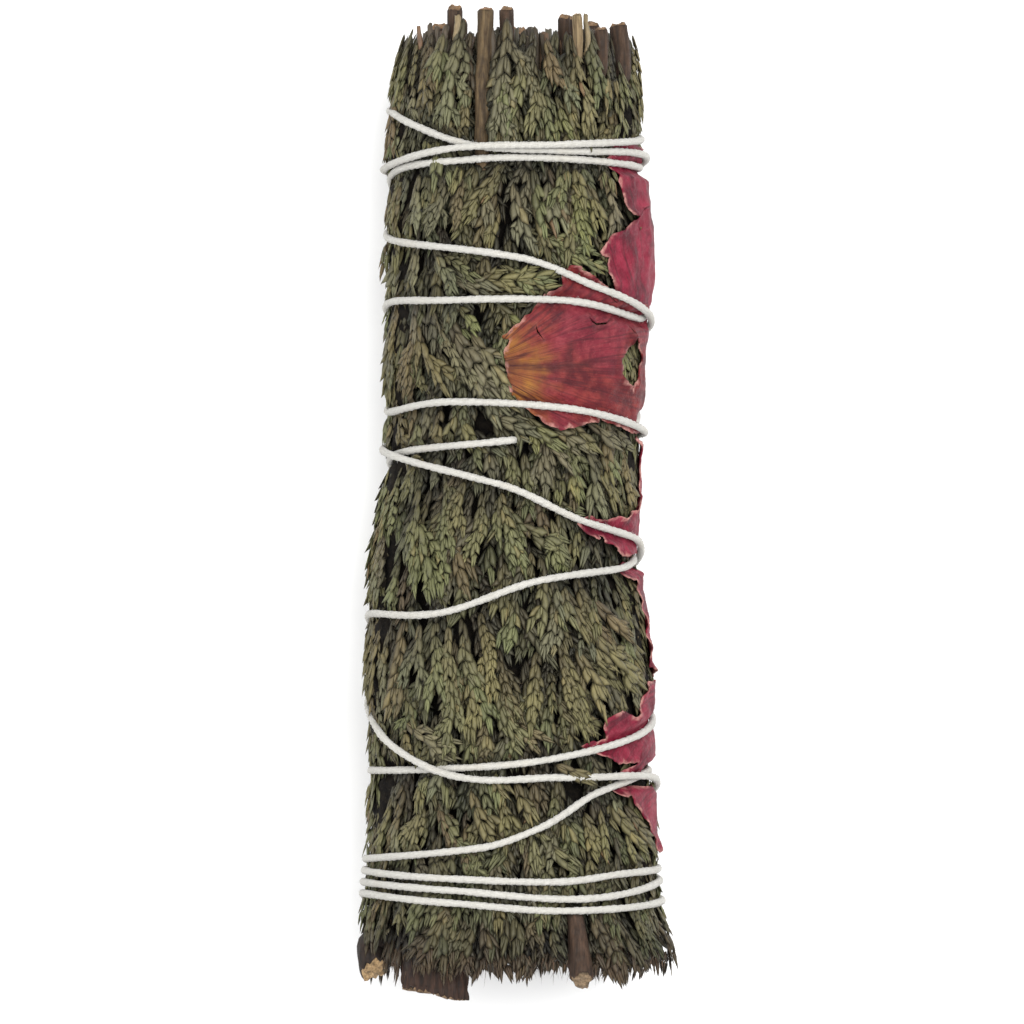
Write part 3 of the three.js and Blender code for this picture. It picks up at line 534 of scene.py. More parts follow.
def bark_material(name, dark, light, cut):
    """Furrowed bark, darker in its furrows as painted shade. The attribute wood holds where a face
    is cut, the grain, and where painted shade darkens the piece under the leaves."""
    n = Nodes(name)
    sawn, grain, painted_shade = n.parts("wood")
    place = n.place()
    streaks = n.noise(n.scaled(place, (1.0, 0.12, 1.0)), 2600.0, 4.0, 0.65)
    flecks = n.noise(place, 1800.0, 3.0, 0.6)
    bark = n.mix(n.fit(streaks, 0.32, 0.68), dark, light)
    bark = n.mix(n.fit(flecks, 0.55, 0.8, 0.0, 0.55), bark, BARK_FLECK)
    # Painted shade: darker where the grain lines sink into furrows.
    bark = n.mix(n.fit(grain, 0.0, 0.6, 0.75, 0.0), bark, BARK_FURROW_SHADE)
    splits = n.noise(n.scaled(place, (1.0, 1.0, 0.3)), 2400.0, 4.0, 0.7)
    faces = n.mix(n.fit(splits, 0.36, 0.62), tuple(0.3 * c for c in cut), cut)
    colour = n.mix(sawn, bark, faces)
    # Painted shade where the piece lies under the leaves.
    colour = n.mix(n.times(painted_shade, 0.85), colour, BARK_SHADE)
    n.bump(streaks, 0.00012, 0.7)
    return n.finish(colour, n.fit(flecks, 0.3, 0.7, 0.7, 0.92), 0.3)


def petal_material(name, first, second):
    """Dried petal with patches of two sets of reds. The attribute zones holds ochre base, pale
    edge and bruise, and fan the turn and distance from the point that its veins spread from."""
    n = Nodes(name)
    base, edge, bruise = n.parts("zones")
    fan = n.attribute("fan")["Vector"]
    place = n.place()
    cloud = n.noise(place, 260.0, 3.0, 0.65)
    blotch = n.noise(place, 950.0, 3.0, 0.6)
    fine = n.noise(place, 2800.0, 3.0, 0.65)
    streaks = n.noise(n.scaled(fan, (34.0, 4.0, 1.0)), 1.0, 4.0, 0.65)
    patch = n.fit(n.noise(place, 130.0), 0.42, 0.58)
    reds = [n.mix(patch, a, b) for a, b in zip(first, second)]
    red = n.mix(n.fit(cloud, 0.34, 0.66), reds[0], reds[1])
    red = n.mix(n.fit(blotch, 0.42, 0.66, 0.0, 0.8), red, reds[2])
    red = n.mix(n.fit(cloud, 0.5, 0.3, 0.0, 0.3), red, PETAL_VEIN)
    red = n.mix(n.fit(streaks, 0.52, 0.75, 0.0, 0.6), red, reds[0])
    red = n.mix(n.fit(fine, 0.64, 0.8, 0.0, 0.6), red, PETAL_FLECK)
    ochre = n.mix(n.fit(cloud, 0.35, 0.65), PETAL_GOLD, PETAL_OCHRE)
    ochre = n.mix(n.fit(streaks, 0.45, 0.7, 0.0, 0.6), ochre, PETAL_OCHRE)
    colour = n.mix(base, red, ochre)
    for turns, reach, strong in PETAL_VEINS:
        lines = n.noise(n.scaled(fan, (turns, reach, 1.0)), 1.0, 2.0, 0.55)
        near_line = n.maths("ABSOLUTE", n.maths("SUBTRACT", lines, 0.5))
        vein = n.fit(near_line, 0.0, VEIN_WIDTH, strong, 0.0)
        shown = n.times(vein, n.fit(base, 0.0, 0.8, 0.62, 1.0))
        colour = n.mix(shown, colour, PETAL_VEIN)
    colour = n.mix(n.times(bruise, 0.8), colour, PETAL_BRUISE)
    colour = n.mix(n.times(edge, n.fit(fine, 0.35, 0.6, 0.3, 1.0)), colour, PETAL_EDGE)
    height = n.maths("ADD", n.times(streaks, 1.5), n.maths("ADD", fine, blotch))
    n.bump(height, 0.00012, 0.7)
    return n.finish(colour, n.fit(fine, 0.3, 0.7, 0.5, 0.7), 0.22)


def string_material():
    """Undyed cotton: off-white, with faint grey between the fibres that run along it."""
    n = Nodes("cotton_twine")
    yarn = n.scaled(n.attribute("yarn")["Vector"], (3.4, 3.4, 0.9))
    fibres = n.noise(yarn, 1.6, 4.0, 0.7)
    soil = n.noise(n.place(), 240.0)
    colour = n.mix(n.fit(fibres, 0.3, 0.66), STRING_SHADE, STRING_LIGHT)
    colour = n.mix(n.fit(soil, 0.55, 0.75, 0.0, 0.25), colour, STRING_SOIL)
    n.bump(fibres, 0.0001, 0.8)
    n.shader.inputs["Sheen Weight"].default_value = 0.3
    n.shader.inputs["Sheen Roughness"].default_value = 0.6
    return n.finish(colour, 0.92, 0.2)


def floor_material():
    n = Nodes("pale_floor")
    return n.finish((0.94, 0.94, 0.94), 0.8, 0.1)


# String route

def route_rows():
    """Turn and y of each listed point of the string."""
    rows = [(-KNOT_TURN, KNOT_Y)]
    for n, (left, front, right) in enumerate(WRAPS):
        rows.append((n, left))
        for x, y in front:
            middle, half, _, _ = outline(y)
            angle = math.acos((x - middle) / (half - STRING_SINK))
            rows.append((n + 0.5 - angle / FULL_TURN, y))
        rows.append((n + 0.5, right))
    rows.append((len(WRAPS) - KNOT_TURN, KNOT_Y + KNOT_STEP))
    return np.array(rows)


def needed_gaps(y, apart, reach):
    """How much depth two wraps need between them, for samples that lie apart turns apart."""
    gap = np.abs(y[apart * FINE:] - y[:-apart * FINE]) * STRING_SLANT
    need = np.sqrt(np.maximum(0, (STRING_D * STRING_TOUCH) ** 2 - gap ** 2))
    wide = need.copy()
    for k in range(1, reach + 1):
        wide[k:] = np.maximum(wide[k:], need[:-k])
        wide[:-k] = np.maximum(wide[:-k], need[k:])
    return wide


def least_depths(turn, y):
    """How deep the string has to lie under the bundle, so that it clears the ground."""
    sine = np.sin(math.pi - turn * FULL_TURN)
    _, _, deep, height = outline(y)
    low = STRING_D / 2 + STRING_REST_GAP
    under = sine < UNDERSIDE
    return np.where(under, deep - (low - height) / np.where(under, sine, -1), -STRING_D)


def stacked_depths(turn, y):
    """Depths along the string. Where wraps cross, the upper one is lifted and the lower one
    pressed in."""
    count = len(turn)
    least = least_depths(turn, y)
    wrap = np.maximum(0, np.floor(turn)).astype(int)
    rank = turn + np.where(wrap == ABOVE_WRAP, len(WRAPS), 0)
    reach = round(STRING_REACH * FINE)
    gaps = {m: needed_gaps(y, m, reach) for m in range(1, len(WRAPS) + 1)}
    depth = np.zeros(count)
    for first in range(FINE):
        stack = sorted(range(first, count, FINE), key=lambda i: -rank[i])
        for n, i in enumerate(stack):
            need = {j: gaps[abs(i - j) // FINE][min(i, j)] for j in stack if j != i}
            lift = max([need[j] / 2 for j in stack[n + 1:]], default=0)
            depth[i] = max(STRING_SINK - lift, least[i])
            for j in stack[:n]:
                if need[j] > 0:
                    depth[i] = max(depth[i], depth[j] + need[j])
    return depth


def route_samples():
    """Turn, y, depth and how far it is hidden, all along the string."""
    turn = np.arange(round(len(WRAPS) * FINE) + 1) / FINE - KNOT_TURN
    y = along_rows(route_rows(), turn, 1)
    depth = np.pad(stacked_depths(turn, y), EASE_REACH, mode="edge")
    spread = np.exp(-0.5 * (np.arange(-EASE_REACH, EASE_REACH + 1) / EASE_WIDTH) ** 2)
    eased = np.convolve(depth, spread / spread.sum(), "valid")
    start, end = HIDDEN_TURNS
    hidden = smooth((turn - start) / HIDDEN_FADE) * smooth((end - turn) / HIDDEN_FADE)
    return turn, y, eased + HIDDEN_DEPTH * hidden, hidden


ROUTE_TURN, ROUTE_Y, ROUTE_DEPTH, ROUTE_HIDDEN = route_samples()


def string_at(angle, y, flat, edge):
    """How deep the string's middle lies over a place, and how near it is, from 0 to 1."""
    part = ((math.pi - angle) / FULL_TURN) % 1
    depth = np.full(np.shape(part), STRING_SINK)
    near = np.zeros(np.shape(part))
    for wrap in range(-1, len(WRAPS)):
        index = np.round((part + wrap + KNOT_TURN) * FINE).astype(int)
        held = (index >= 0) & (index < len(ROUTE_Y))
        at = np.clip(index, 0, len(ROUTE_Y) - 1)
        weight = fade(np.abs(ROUTE_Y[at] - y), flat, edge) * held * (1 - ROUTE_HIDDEN[at])
        deeper = weight > near
        depth = np.where(deeper, ROUTE_DEPTH[at], depth)
        near = np.maximum(near, weight)
    return depth, near


def petal_depth(angle, y):
    depth, near = string_at(angle, y, 0.35, 1.5)
    return np.maximum(PETAL_DEPTH, (depth + STRING_D / 2 + 0.04) * near)


def unrolled(angle, y):
    """A place on the surface as flat coordinates that grow to the right and up."""
    turned = np.where(angle > math.pi * 1.25, angle - FULL_TURN, angle)
    return np.stack([-turned * MEAN_RADIUS, y + 0 * turned], -1)


def flat_outline(visible, hidden=()):
    """A petal's or hole's corners in flat coordinates."""
    visible = np.array(visible)
    flat = unrolled(front_angle(visible[:, 0], visible[:, 1]), visible[:, 1])
    if len(hidden):
        hidden = np.array(hidden, float)
        flat = np.vstack([flat, unrolled(hidden[:, 0] * DEGREE, hidden[:, 1])])
    return flat


def inside(corners, places):
    """How far places lie inside a closed outline; outside is negative."""
    places = np.asarray(places)
    flat = places.reshape(-1, 2)
    start, end = corners, np.roll(corners, -1, 0)
    along = end - start
    to = flat[:, None] - start[None]
    share = np.clip(np.sum(to * along, -1) / np.maximum(np.sum(along ** 2, -1), 1e-9), 0, 1)
    apart = np.linalg.norm(to - share[..., None] * along, axis=-1).min(1)
    above = (start[None, :, 1] > flat[:, None, 1]) != (end[None, :, 1] > flat[:, None, 1])
    rise = np.where(np.abs(along[:, 1]) < 1e-9, 1e-9, along[:, 1])
    crossing = start[:, 0] + (flat[:, None, 1] - start[:, 1]) / rise * along[:, 0]
    hits = np.sum(above & (flat[:, None, 0] < crossing), 1)
    return np.where(hits % 2 == 1, apart, -apart).reshape(places.shape[:-1])


PETAL_FLATS = {name: flat_outline(*edges) for name, edges in PETALS.items()}
HOLE_FLAT = flat_outline(PETAL_HOLE)


def under_petals(angle, y):
    """How deep a leaf's middle has to lie where a petal is over it."""
    right = (angle < 2.0) | (angle > 5.4)
    places = unrolled(angle, y)[right]
    covered = np.zeros(np.shape(angle))
    for name, corners in PETAL_FLATS.items():
        within = inside(corners, places)
        if name == LARGE_PETAL:
            within = np.minimum(within, -inside(HOLE_FLAT, places))
        covered[right] = np.maximum(covered[right], smooth((within + 0.4) / 0.6))
    return (petal_depth(angle, y) + PETAL_THICKNESS + 0.5) * covered


def under_stems(angle, y):
    """How deep a leaf's middle has to lie where a stem is over it."""
    least = np.zeros(np.shape(angle))
    half = outline(y)[1]
    for name, (stem_angle, start, end, radius, deep) in SURFACE_STEMS.items():
        aside = np.abs(angle - stem_angle * DEGREE) * half - radius
        below = max(min(start, end), STEM_BURIED.get(name, -99.0)) - y
        above = y - min(max(start, end), STEM_HIDDEN_ABOVE.get(name, 99.0))
        past = np.maximum(0, np.maximum(below, above))
        under = (deep + radius * 0.4) * fade(aside, -0.1, 0.9) * fade(past, 0.2, 1.6)
        least = np.maximum(least, under)
    return least


def cover(angle, y, over_string=0.0, over_petal=0.0, over_stem=0.0):
    """Least depth of a leaf's middle, so that string, petals and stems lie over it, and how
    near the string is."""
    angle = angle % FULL_TURN
    depth, near = string_at(angle, y, 0.32, 1.4)
    near = near * (1 - over_string)
    side = smooth((np.abs(np.cos(angle)) - 0.85) / 0.12)
    least = (depth + STRING_D / 2 + 0.28 - 0.3 * side) * near
    least = np.maximum(least, under_petals(angle, y) * (1 - over_petal))
    return np.maximum(least, under_stems(angle, y) * (1 - over_stem)), near


# Foliage: fronds of branchlets, and branchlets of whorls of scale leaves

# Fronds seen on the front: root x and y, tip x and y, width, tone, and for some what they lie
# over: 1 the string, 2 a petal, 3 a stem.
FRONT_FRONDS = [
    (-2.7, 47.2, -2.0, 37.8, 1.1, "grey", 3), (-11.8, 49.4, -11.5, 44.0, 1.8, "olive"),
    (-10.3, 49.2, -9.4, 43.2, 1.8, "brown"), (-8.7, 49.2, -8.7, 44.2, 1.8, "green"),
    (3.0, 48.6, 3.6, 43.0, 1.6, "brown"), (5.0, 46.2, 5.6, 41.0, 2.2, "grey"),
    (10.0, 47.6, 10.2, 41.0, 2.0, "olive"), (12.0, 47.8, 12.2, 42.8, 1.8, "brown"),
    (-6.6, 50.6, -7.1, 39.7, 4.9, "grey"), (-12.2, 49.9, -12.8, 40.8, 3.2, "green"),
    (-10.5, 48.9, -9.8, 40.5, 2.0, "brown"), (-8.8, 49.2, -8.3, 44.0, 1.8, "green"),
    (-1.4, 50.6, 0.6, 37.6, 5.4, "grey"), (2.2, 45.4, 4.5, 37.6, 2.9, "green"),
    (-2.4, 46.5, -2.1, 38.5, 1.5, "green"), (6.2, 48.6, 7.6, 38.4, 2.1, "yellow", 3),
    (7.9, 50.2, 9.0, 41.5, 1.7, "green"), (11.3, 44.3, 11.0, 38.4, 3.6, "green"),
    (12.5, 43.8, 12.7, 38.9, 1.6, "grey"), (-5.4, 46.8, -5.3, 37.4, 1.8, "yellow"),
    (4.2, 42.7, 5.5, 37.8, 1.6, "bright"), (-13.6, 41.0, -13.4, 35.8, 2.6, "grey"),
    (-10.1, 40.0, -8.4, 37.3, 2.4, "green"), (-11.9, 43.8, -11.2, 38.2, 2.2, "grey"),
    (-13.4, 35.2, -13.4, 28.8, 2.4, "brown"), (-11.4, 34.4, -11.6, 28.4, 2.4, "grey"),
    (-8.4, 35.0, -9.7, 28.7, 3.2, "grey"), (-6.4, 34.4, -6.1, 28.7, 2.5, "brown"),
    (-2.1, 35.4, -5.2, 27.3, 3.2, "olive"), (-2.4, 31.0, -3.2, 26.8, 2.2, "olive"),
    (-0.6, 33.2, -0.7, 26.3, 3.3, "grey"), (1.6, 35.0, 2.7, 27.8, 2.8, "green"),
    (3.2, 35.4, 4.4, 28.1, 2.7, "grey"), (5.6, 34.2, 6.9, 26.8, 3.0, "bright"),
    (7.6, 33.7, 8.5, 28.4, 2.5, "yellow"), (9.8, 33.9, 10.4, 27.8, 2.3, "grey"),
    (0.8, 28.7, 9.2, 25.3, 3.4, "green", 2), (8.4, 28.4, 9.7, 24.8, 2.3, "olive"),
    (-13.6, 28.1, -13.9, 21.7, 3.0, "olive"), (-11.6, 27.9, -11.3, 21.7, 2.2, "grey"),
    (-9.9, 27.2, -6.3, 22.7, 3.1, "grey"), (-9.4, 26.4, -4.4, 24.2, 2.8, "green"),
    (-5.6, 23.1, 4.8, 24.5, 3.6, "olive"), (-2.1, 25.0, 3.2, 22.0, 2.6, "green"),
    (-7.6, 23.9, -2.6, 21.9, 2.4, "grey"),
    (-13.6, 20.9, -14.2, 11.1, 2.6, "olive"), (-11.8, 20.8, -12.4, 11.2, 2.3, "brown"),
    (-12.0, 20.5, -8.5, 10.7, 2.5, "olive"), (-10.0, 20.5, -4.5, 11.0, 3.0, "grey"),
    (-8.4, 19.7, -1.3, 12.3, 5.8, "grey"), (-6.8, 20.6, -4.0, 18.4, 2.8, "bright"),
    (-2.6, 20.8, 0.6, 18.4, 2.4, "bright"), (-5.4, 17.9, 0.2, 12.0, 4.0, "grey"),
    (-7.0, 15.0, -1.0, 9.5, 3.6, "grey"), (-1.6, 20.0, -0.8, 15.0, 2.4, "green"),
    (-13.9, 9.8, -14.2, 6.0, 2.4, "grey"), (-11.6, 9.8, -11.0, 5.6, 2.8, "green"),
    (-9.2, 9.8, -8.4, 6.0, 2.6, "olive"), (-7.1, 9.9, -4.4, 6.1, 2.8, "yellow"),
    (-3.6, 9.4, 1.4, 6.0, 3.8, "grey"), (0.6, 9.2, 4.6, 6.0, 2.8, "green"),
    (2.6, 8.4, 7.4, 5.6, 3.0, "grey"), (5.6, 8.6, 8.4, 5.8, 2.6, "olive"),
    (7.8, 8.8, 10.6, 6.0, 2.6, "grey"), (10.2, 8.4, 12.0, 6.0, 2.4, "grey"),
    (-13.4, 4.3, -14.6, -3.6, 2.8, "green"), (-11.3, 1.7, -11.2, -9.9, 6.2, "green"),
    (-14.7, -1.6, -15.0, -9.9, 2.6, "grey"), (-8.4, 3.7, -7.4, -5.7, 2.5, "green"),
    (-6.1, 3.7, -6.5, -3.6, 2.2, "olive"), (-7.6, 0.1, -5.5, -9.7, 2.6, "brown"),
    (-4.2, 1.2, -4.4, -6.3, 2.4, "green"), (-2.1, 1.2, -0.8, -6.6, 2.6, "green"),
    (-1.6, 0.1, 1.6, -7.0, 2.8, "green"), (0.0, -2.0, 5.1, -5.4, 3.2, "green"),
    (-1.0, -7.1, -3.4, -9.6, 2.6, "olive"), (2.6, 6.8, 2.2, 0.6, 2.6, "grey"),
    (5.2, 7.6, 5.5, 0.1, 2.6, "green"), (7.4, 7.6, 8.2, -1.0, 2.4, "grey"),
    (9.4, 6.8, 10.3, -0.5, 2.4, "olive"), (11.6, 6.2, 12.2, -0.7, 2.0, "olive"),
    (0.5, 5.3, 1.0, 0.6, 2.3, "green"), (4.2, 0.6, 6.2, -2.2, 2.6, "green"),
    (-12.9, -12.0, -13.6, -22.5, 2.4, "brown"), (-14.8, -13.0, -14.9, -22.6, 2.2, "grey"),
    (-11.2, -12.4, -11.4, -20.0, 2.2, "grey"), (-9.4, -12.2, -8.4, -22.0, 2.8, "green"),
    (-7.9, -12.6, -6.1, -26.2, 3.6, "green"), (-4.4, -11.2, -2.1, -20.5, 2.8, "yellow"),
    (-6.3, -14.1, -3.2, -23.6, 2.6, "green"), (-3.2, -16.2, 0.5, -25.1, 3.2, "green"),
    (-0.8, -22.0, 3.0, -25.1, 2.6, "brown"), (4.2, -8.9, 2.1, -15.6, 2.6, "grey"),
    (2.1, -15.0, 1.6, -24.0, 2.7, "olive"), (4.5, -14.1, 6.1, -24.5, 3.2, "olive"),
    (6.8, -11.6, 12.3, -20.8, 5.0, "yellow"), (6.4, -15.2, 9.4, -21.6, 2.8, "yellow"),
    (5.4, -8.9, 7.3, -14.1, 2.2, "yellow"), (8.4, -10.0, 11.7, -14.1, 2.8, "brown"),
    (11.0, -7.9, 13.0, -18.2, 2.0, "olive"), (3.6, -19.3, 7.3, -25.1, 3.2, "olive"),
    (-12.6, -22.6, -8.0, -26.5, 3.2, "grey"), (-14.2, -23.0, -13.6, -27.0, 2.4, "green"),
    (-0.5, -9.8, -0.9, -15.4, 2.4, "green"),
    (-14.2, -29.9, -15.2, -37.2, 2.6, "olive"), (-11.0, -29.3, -12.6, -36.2, 4.0, "olive"),
    (-9.4, -30.9, -3.7, -38.0, 4.2, "green"), (-5.2, -29.9, -4.2, -36.2, 2.8, "olive"),
    (-2.1, -29.9, -2.6, -36.2, 2.6, "olive"), (0.7, -29.3, 1.0, -37.7, 4.0, "green"),
    (3.9, -27.0, 7.4, -29.3, 2.0, "yellow", 1), (4.2, -30.9, 5.8, -36.2, 2.6, "green"),
    (6.8, -31.0, 9.0, -37.0, 2.8, "olive"), (9.4, -29.9, 12.8, -37.2, 3.6, "olive"),
    (11.8, -31.4, 14.2, -37.2, 2.4, "grey"), (2.6, -34.6, 6.3, -38.1, 2.4, "green"),
    (11.0, 18.6, 11.6, 11.6, 1.7, "bright"), (12.2, 18.0, 12.4, 12.4, 1.3, "green"),
    (-8.8, -26.9, -7.4, -31.0, 2.6, "green"), (-3.4, -27.0, -2.6, -31.0, 2.6, "olive"),
    (5.6, 31.6, 4.4, 25.2, 2.0, "olive"), (6.4, 31.4, 6.6, 26.2, 1.8, "green"),
    (3.7, -1.6, 4.5, -7.2, 2.0, "green"), (1.4, -5.0, 1.7, -8.8, 1.8, "olive"),
    (7.4, -2.2, 8.0, -6.4, 2.0, "grey"), (3.8, -7.4, 4.2, -11.8, 2.0, "grey"),
    (-5.8, -17.0, -4.6, -24.6, 2.4, "olive"), (-5.2, -22.4, -4.4, -27.2, 2.0, "green"),
    (-0.4, -28.9, 0.6, -33.4, 2.2, "yellow"), (-1.0, 6.4, -1.2, 1.4, 2.2, "green"),
    (11.6, -12.6, 13.2, -17.6, 2.2, "olive"), (11.9, -16.8, 12.9, -21.4, 2.0, "grey"),
    (10.0, -12.2, 10.8, -16.8, 2.0, "yellow"), (11.0, -18.0, 11.6, -22.8, 1.8, "olive"),
    (-14.0, 17.6, -13.5, 12.2, 2.2, "grey"), (4.6, 36.6, 4.3, 30.6, 2.2, "green"),
    (6.4, 36.2, 6.6, 30.8, 2.0, "olive"), (2.2, 7.6, 5.8, 3.6, 2.4, "grey"),
    (9.6, 6.4, 10.4, 2.6, 1.8, "green"), (8.6, 2.8, 9.2, -1.2, 1.8, "grey"),
    (4.6, -15.6, 5.6, -22.6, 2.2, "olive"), (11.4, 46.6, 11.6, 41.4, 2.0, "green"),
    (1.4, 46.4, 1.6, 38.6, 2.2, "green"), (12.8, -41.2, 13.2, -45.8, 2.2, "olive"),
    (10.2, -44.4, 10.8, -49.2, 2.2, "green"), (-13.7, -6.0, -13.9, -11.6, 2.2, "green"),
    (-12.5, 48.8, -12.7, 43.0, 2.0, "green"), (-9.9, 9.8, -9.7, 4.8, 2.2, "grey"),
    (-16.2, -41.4, -15.9, -47.4, 1.6, "olive", 3), (-15.3, -41.8, -15.1, -46.4, 1.5, "grey", 3),
    (-11.6, -43.0, -11.9, -48.6, 1.9, "brown"), (-10.2, -43.2, -10.0, -48.8, 2.0, "olive"),
    (-8.4, -43.0, -8.6, -48.4, 2.0, "green"), (-6.6, -43.4, -6.8, -48.9, 2.0, "brown"),
    (3.0, 27.2, 6.4, 25.2, 1.8, "bright"), (6.4, 34.0, 6.7, 27.6, 2.0, "bright"),
    (5.2, 36.6, 5.2, 33.0, 1.6, "green"), (-3.4, 6.6, -3.8, 2.4, 2.0, "grey"),
    (-0.9, -23.4, -1.1, -27.6, 2.0, "green"), (-3.5, -22.4, -3.6, -26.8, 1.8, "olive"),
    (0.2, 46.8, 0.4, 40.4, 1.8, "green"), (-13.6, -31.6, -13.9, -37.4, 2.0, "grey"),
    (-7.2, 10.4, -7.4, 6.4, 2.0, "olive"), (5.0, -8.6, 5.4, -13.0, 1.8, "green"),
    (7.6, -9.2, 8.0, -13.8, 1.8, "yellow"), (-3.5, 33.2, -3.7, 29.0, 1.8, "grey"),
    (5.9, 5.2, 6.4, 0.4, 2.2, "bright"), (-2.4, 0.6, -2.3, -4.2, 1.8, "green"),
    (8.9, -31.8, 9.2, -37.0, 1.8, "olive"), (14.0, -41.4, 14.4, -45.8, 1.8, "grey"),
    (4.4, -2.4, 3.8, -6.8, 1.8, "bright"), (2.5, 28.8, 2.9, 25.6, 1.6, "green"),
    (1.4, 8.6, 1.6, 5.4, 1.6, "bright"), (3.9, -29.4, 4.2, -33.6, 1.8, "green"),
    (-11.0, -27.8, -11.3, -32.2, 1.8, "olive"),
    (-12.9, 48.6, -13.4, 41.2, 2.0, "olive"), (-13.5, 34.6, -13.6, 28.2, 2.0, "green"),
    (-13.7, 27.4, -13.9, 21.6, 2.0, "grey"), (-13.9, 19.8, -14.2, 12.0, 2.0, "olive"),
    (-14.1, 9.6, -14.3, 4.6, 2.0, "green"), (-14.2, 3.6, -14.9, -3.6, 2.0, "olive"),
    (-15.1, -3.0, -15.4, -10.2, 2.0, "grey"), (-15.4, -12.4, -15.6, -20.0, 2.0, "olive"),
    (-15.5, -20.6, -15.6, -27.0, 2.0, "green"), (-15.6, -30.0, -16.1, -37.0, 2.0, "olive"),
]

# The row of tips at the lower end: x of the root, x of the tip, how low they hang, width.
TIP_ROW = [
    (-16.2, -16.4, 45.6, 1.8), (-15.2, -15.3, 46.6, 2.2), (-14.2, -14.2, 45.4, 2.0),
    (-9.8, -11.8, 47.6, 2.2), (-9.0, -10.6, 48.2, 2.2), (-8.0, -9.4, 48.0, 2.0),
    (-7.0, -8.2, 48.3, 2.2), (-6.0, -6.8, 47.9, 2.0), (-5.0, -5.5, 48.4, 2.0),
    (-3.8, -4.2, 47.4, 2.2), (-2.6, -2.8, 47.9, 2.0), (-1.4, -1.4, 47.2, 2.2),
    (-0.2, 0.0, 46.8, 2.0), (1.0, 1.4, 46.6, 2.2), (2.3, 2.6, 47.2, 2.4), (3.5, 3.9, 46.9, 2.0),
    (7.9, 8.4, 48.6, 1.9), (9.1, 9.7, 49.8, 2.2), (10.2, 11.0, 50.0, 2.2),
    (11.2, 12.4, 49.0, 2.2), (12.2, 13.6, 48.0, 2.2), (13.2, 15.0, 47.6, 2.0),
    (14.0, 16.0, 47.0, 1.9),
]
TIP_ROW_TOP = -42.0
TIP_ROW_TONES = ["green", "olive", "brown"]
# Tips behind a gap in that row, darkened as painted shade, and how many tips hang all round the
# underside.
TIPS_BEHIND = (-13.4, -12.2, -11.0)
RIM_TIPS = 22

TONES = {
    "green": tone(92, 93, 61), "grey": tone(92, 90, 67), "olive": tone(94, 89, 57),
    "yellow": tone(99, 94, 60), "brown": tone(90, 79, 54), "bright": tone(97, 99, 59),
}
FILL_TONES = ["green", "grey", "olive", "grey", "green", "olive", "green", "brown"]

# Branchlets and twigs: how far apart their whorls are, and whorl widths from root to tip.
SIDE_SPACING = 1.3
SIDE_WIDTHS = (1.15, 1.42, 1.2)
TWIG_SPACING = 1.2
TWIG_WIDTHS = (1.1, 1.25, 1.1)
# Fronds narrower than this fork. Angles in degrees at which branchlets leave the axis.
NARROW = 2.9
FORK_OPENING = 25
OPENING = 33.0
# How much branchlets roll and wander, how deep fronds and their roots lie, and how many of the
# front's fronds have a companion just below them.
ROLL = 0.22
WANDER = 0.09
TOP_LEVEL = 0.15
ROOT_DROP = 1.0
COMPANIONS = 0.85
DEAD_TIP = tone(88, 68, 48)
FROND_ROOT = tone(92, 78, 54)
OVER_STRING = 1
OVER_PETAL = 2
OVER_STEM = 3


